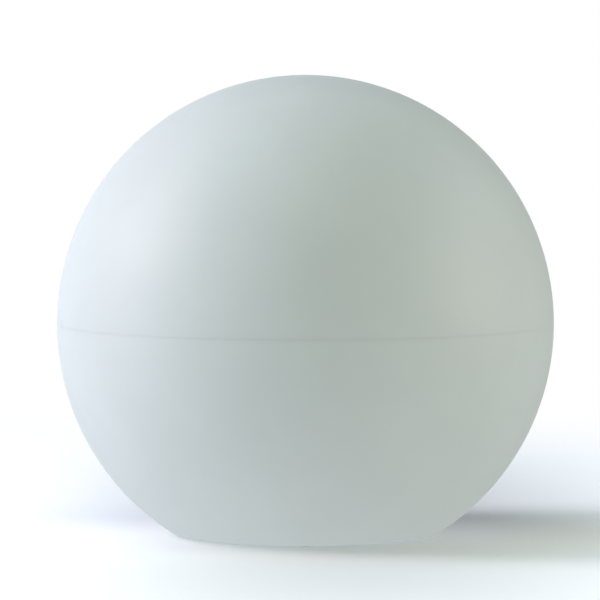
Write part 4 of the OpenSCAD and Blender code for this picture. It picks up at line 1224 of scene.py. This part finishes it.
class GLOBE_LIGHT_OT_button(GlobeLightOperator):
    """Make the button's spring and finish the button with its clip and seal"""

    bl_idname = "globe_light.button"
    bl_label = "Power Button"
    nodes = (
        ("button_cap", silicone, 0.25), ("stem_seal", silicone, 0.1),
        ("button_clip", stainless_steel, 0.06),
    )

    def make(self, shell, stage):
        """A coil of round wire."""
        low, high = spring_box
        tall = high.z - low.z
        wire = shell.spring_wire / 2
        coil_radius = (high.x - low.x) / 2 - wire
        mesh = bmesh.new()
        upright = Matrix.Translation((coil_radius, 0.0, 0.0)) @ Matrix.Rotation(math.pi / 2, 4, "X")
        bmesh.ops.create_circle(
            mesh, cap_ends=False, segments=WIRE_SIDES, radius=wire, matrix=upright,
        )
        steps = round(TURN_STEPS * shell.spring_turns)
        turn = 2 * math.pi * shell.spring_turns
        spin(mesh, list(mesh.edges), turn, steps, rise=tall - 2 * wire)
        open_ends = [edge for edge in mesh.edges if edge.is_boundary]
        bmesh.ops.holes_fill(mesh, edges=open_ends, sides=WIRE_SIDES)
        move(mesh, (low.x + high.x) / 2, (low.y + high.y) / 2, low.z + wire)
        face_outward(mesh)
        piece = new_object("return_spring", mesh)
        soften(piece, 0.0, merge=False)
        add_piece(piece, [stainless_steel], "light_module", "stainless_steel", "button_spring")
        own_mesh(piece)


class GLOBE_LIGHT_OT_bail(GlobeLightOperator):
    """Finish the hanging bail"""

    bl_idname = "globe_light.bail"
    bl_label = "Hanging Bail"
    nodes = (("hang_bail", stainless_steel, 0.15),)


class GLOBE_LIGHT_OT_charging_port(GlobeLightOperator):
    """Finish the charging socket, its seals, its door and the door's pin"""

    bl_idname = "globe_light.charging_port"
    bl_label = "Charging Port"
    nodes = (
        ("port_door", body_plastic, 0.2),
        ("port_seal", silicone, 0.12), ("socket_gasket", silicone, 0.12),
        ("socket_body", black_plastic, 0.12),
        ("socket_shell", stainless_steel, 0.06), ("hinge_pin", stainless_steel, 0.06),
    )


class GLOBE_LIGHT_OT_leads(GlobeLightOperator):
    """Finish the leads and their grommet"""

    bl_idname = "globe_light.leads"
    bl_label = "Leads"
    nodes = (
        ("positive_lead", red_wire, 0.0),
        ("negative_lead", black_wire, 0.0), ("light_lead", black_wire, 0.0),
        ("lead_grommet", grey_rubber, 0.15),
    )


class GLOBE_LIGHT_OT_screws(GlobeLightOperator):
    """Finish every screw"""

    bl_idname = "globe_light.screws"
    bl_label = "Screws"
    nodes = tuple(
        (place + "_screws", stainless_steel, 0.08, 1)
        for place in ("ballast", "plate", "lens", "light", "cradle", "board", "socket")
    )


# Distance of every lamp from the globe's centre, in metres
LAMP_DISTANCE = 1.6
# Name, degrees round from the front, degrees up, diameter in metres, watts and colour
LAMPS = (
    ("key", -90, 30, 0.7, 9.4, (1.0, 0.905, 0.967)),
    ("low_key", -80, 12, 1.1, 3.7, (0.758, 0.808, 1.0)),
    ("high_key", -105, 45, 0.6, 1.30, (0.971, 0.866, 1.0)),
    ("right", 80, 15, 1.2, 7.30, (0.988, 1.0, 0.895)),
    ("high_right", 105, 40, 1.2, 2.66, (0.646, 0.74, 1.0)),
    ("top_left", -90, 70, 1.0, 2.80, (0.473, 0.791, 1.0)),
    ("top_front", 0, 70, 1.2, 2.44, (0.958, 1.0, 0.65)),
)
# Middle of the floor's darker patch of painted shade, in metres, and where its tone starts and
# ends, in patches
SHADE_PATCH_MIDDLE = (0.021, 0.076)
SHADE_PATCH_FADE = (-0.117, 0.775)
# Distances from the globe over which the floor turns plain white, in metres
WHITE_FADE = (0.45, 0.95)


class GLOBE_LIGHT_OT_stage(GlobeLightOperator):
    """Set up the camera, the lamps, the room light and the pale floor, with its painted shade round
    the globe
    """

    bl_idname = "globe_light.stage"
    bl_label = "Stage"

    def stand(self, name, data, aim, way, distance):
        """Puts a camera or a lamp at a distance from its aim, and turns it to the aim."""
        item = bpy.data.objects.new(name, data)
        bpy.context.scene.collection.objects.link(item)
        item.location = aim + way * distance
        item.rotation_euler = (-way).to_track_quat("-Z", "Y").to_euler()
        return item

    def camera(self, stage):
        data = put(bpy.data.cameras.new("camera"), lens=stage.lens, sensor_width=36, clip_end=50)
        back = Vector((0.0, -math.cos(stage.elevation), math.sin(stage.elevation)))
        camera = self.stand("camera", data, Vector(stage.aim), back, stage.distance)
        bpy.context.scene.camera = camera

    def lamp(self, name, around, up, size, power, colour):
        data = bpy.data.lights.new(name, "AREA")
        put(data, shape="DISK", size=size, energy=power, color=colour)
        turn, lift = math.radians(around), math.radians(up)
        way = (math.sin(turn) * math.cos(lift), -math.cos(turn) * math.cos(lift), math.sin(lift))
        centre = Vector((0.0, 0.0, upper_box[0].z))
        self.stand(name, data, centre, Vector(way), LAMP_DISTANCE)

    def floor(self, stage):
        mesh = bmesh.new()
        bmesh.ops.create_grid(mesh, x_segments=2, y_segments=2, size=stage.floor_size)
        floor = put(new_object("floor", mesh), visible_shadow=False, visible_diffuse=False)
        material = bpy.data.materials.new("floor")
        material.use_nodes = True
        nodes = Tree(material.node_tree)
        nodes.tree.nodes.remove(nodes.tree.nodes["Principled BSDF"])
        place = nodes.add("TexCoord").outputs["Object"]
        # Painted shade: the floor's tone is lowered in an oval round the globe, deepening its cast
        # shadow, and rises to the far tone outside it
        wide, deep = stage.floor_shade_patch
        middle = (-SHADE_PATCH_MIDDLE[0] / wide, -SHADE_PATCH_MIDDLE[1] / deep, 0.0)
        off = nodes.placed(place, location=middle, scale=(1 / wide, 1 / deep, 1.0))
        out = nodes.measure("LENGTH", off)
        tone = nodes.slope(out, *SHADE_PATCH_FADE, stage.floor_shade_tone, stage.floor_far)
        pale = nodes.add("BsdfDiffuse", {"Color": tone}).outputs[0]
        lit = nodes.add("AddShader", {0: pale, 1: pale}).outputs[0]
        white = nodes.add("Emission", {"Color": (1, 1, 1, 1), "Strength": 1.0}).outputs[0]
        far = nodes.slope(nodes.measure("LENGTH", place), *WHITE_FADE)
        away = nodes.add("MixShader", {0: far, 1: lit, 2: white}).outputs[0]
        clear = nodes.add("BsdfTransparent").outputs[0]
        below = nodes.add("NewGeometry").outputs["Backfacing"]
        seen = nodes.add("MixShader", {0: below, 1: away, 2: clear}).outputs[0]
        nodes.feed(nodes.tree.nodes["Material Output"].inputs["Surface"], seen)
        floor.data.materials.append(material)

    def room(self, stage):
        world = bpy.data.worlds.new("room")
        bpy.context.scene.world = world
        world.use_nodes = True
        nodes = Tree(world.node_tree)
        way = nodes.add("TexCoord").outputs["Generated"]
        light = (0, 0, 0)
        for side, colour in (
            ((0, 0, -1), stage.room_below), ((0, -1, 0), stage.room_front),
            ((-1, 0, 0), stage.room_left),
        ):
            share = nodes.most(nodes.measure("DOT_PRODUCT", way, side), 0.0)
            light = nodes.mix(1.0, light, nodes.mix(share, (0, 0, 0), colour), "ADD")
        dim = nodes.tree.nodes["Background"]
        nodes.feed(dim.inputs["Color"], light)
        white = nodes.add("Background", {"Color": (1, 1, 1, 1), "Strength": 1.0}).outputs[0]
        rays = nodes.add("LightPath").outputs
        seen = nodes.most(rays["Is Camera Ray"], rays["Is Glossy Ray"])
        seen = nodes.most(seen, rays["Is Transmission Ray"])
        both = nodes.add("MixShader", {0: seen, 1: dim.outputs[0], 2: white}).outputs[0]
        nodes.feed(nodes.tree.nodes["World Output"].inputs["Surface"], both)

    def make(self, shell, stage):
        bpy.context.scene.view_settings.view_transform = "Standard"
        self.camera(stage)
        self.floor(stage)
        self.room(stage)
        for name, around, up, size, power, colour in LAMPS:
            self.lamp(name, around, up, size, power * stage.lamp_level, colour)


PIECES = (
    GLOBE_LIGHT_OT_upper_shell,
    GLOBE_LIGHT_OT_lower_shell,
    GLOBE_LIGHT_OT_weights_and_feet,
    GLOBE_LIGHT_OT_base_plate,
    GLOBE_LIGHT_OT_housing,
    GLOBE_LIGHT_OT_lens,
    GLOBE_LIGHT_OT_light_board,
    GLOBE_LIGHT_OT_battery,
    GLOBE_LIGHT_OT_control_board,
    GLOBE_LIGHT_OT_button,
    GLOBE_LIGHT_OT_bail,
    GLOBE_LIGHT_OT_charging_port,
    GLOBE_LIGHT_OT_leads,
    GLOBE_LIGHT_OT_screws,
    GLOBE_LIGHT_OT_stage,
)


class GLOBE_LIGHT_PT_pieces(Panel):
    """Lists the pieces of the globe light"""

    bl_label = "Globe Light"
    bl_idname = "GLOBE_LIGHT_PT_pieces"
    bl_space_type = "VIEW_3D"
    bl_region_type = "UI"
    bl_category = "Globe Light"

    def draw(self, context):
        column = self.layout.column(align=True)
        for piece in PIECES:
            column.operator(piece.bl_idname)


GROUPS = (
    (GlobeLightShell, "globe_light_shell"),
    (GlobeLightColours, "globe_light_colours"),
    (GlobeLightStage, "globe_light_stage"),
)


def register():
    for group, name in GROUPS:
        bpy.utils.register_class(group)
        setattr(bpy.types.Scene, name, PointerProperty(type=group))
    for item in (*PIECES, GLOBE_LIGHT_PT_pieces):
        bpy.utils.register_class(item)


def unregister():
    for item in reversed((*PIECES, GLOBE_LIGHT_PT_pieces)):
        bpy.utils.unregister_class(item)
    for group, name in reversed(GROUPS):
        delattr(bpy.types.Scene, name)
        bpy.utils.unregister_class(group)


def main():
    register()
    clear_plain_colours()
    make_groups()
    for piece in PIECES:
        getattr(bpy.ops.globe_light, piece.bl_idname.split(".")[1])()


if __name__ == "__main__":
    main()
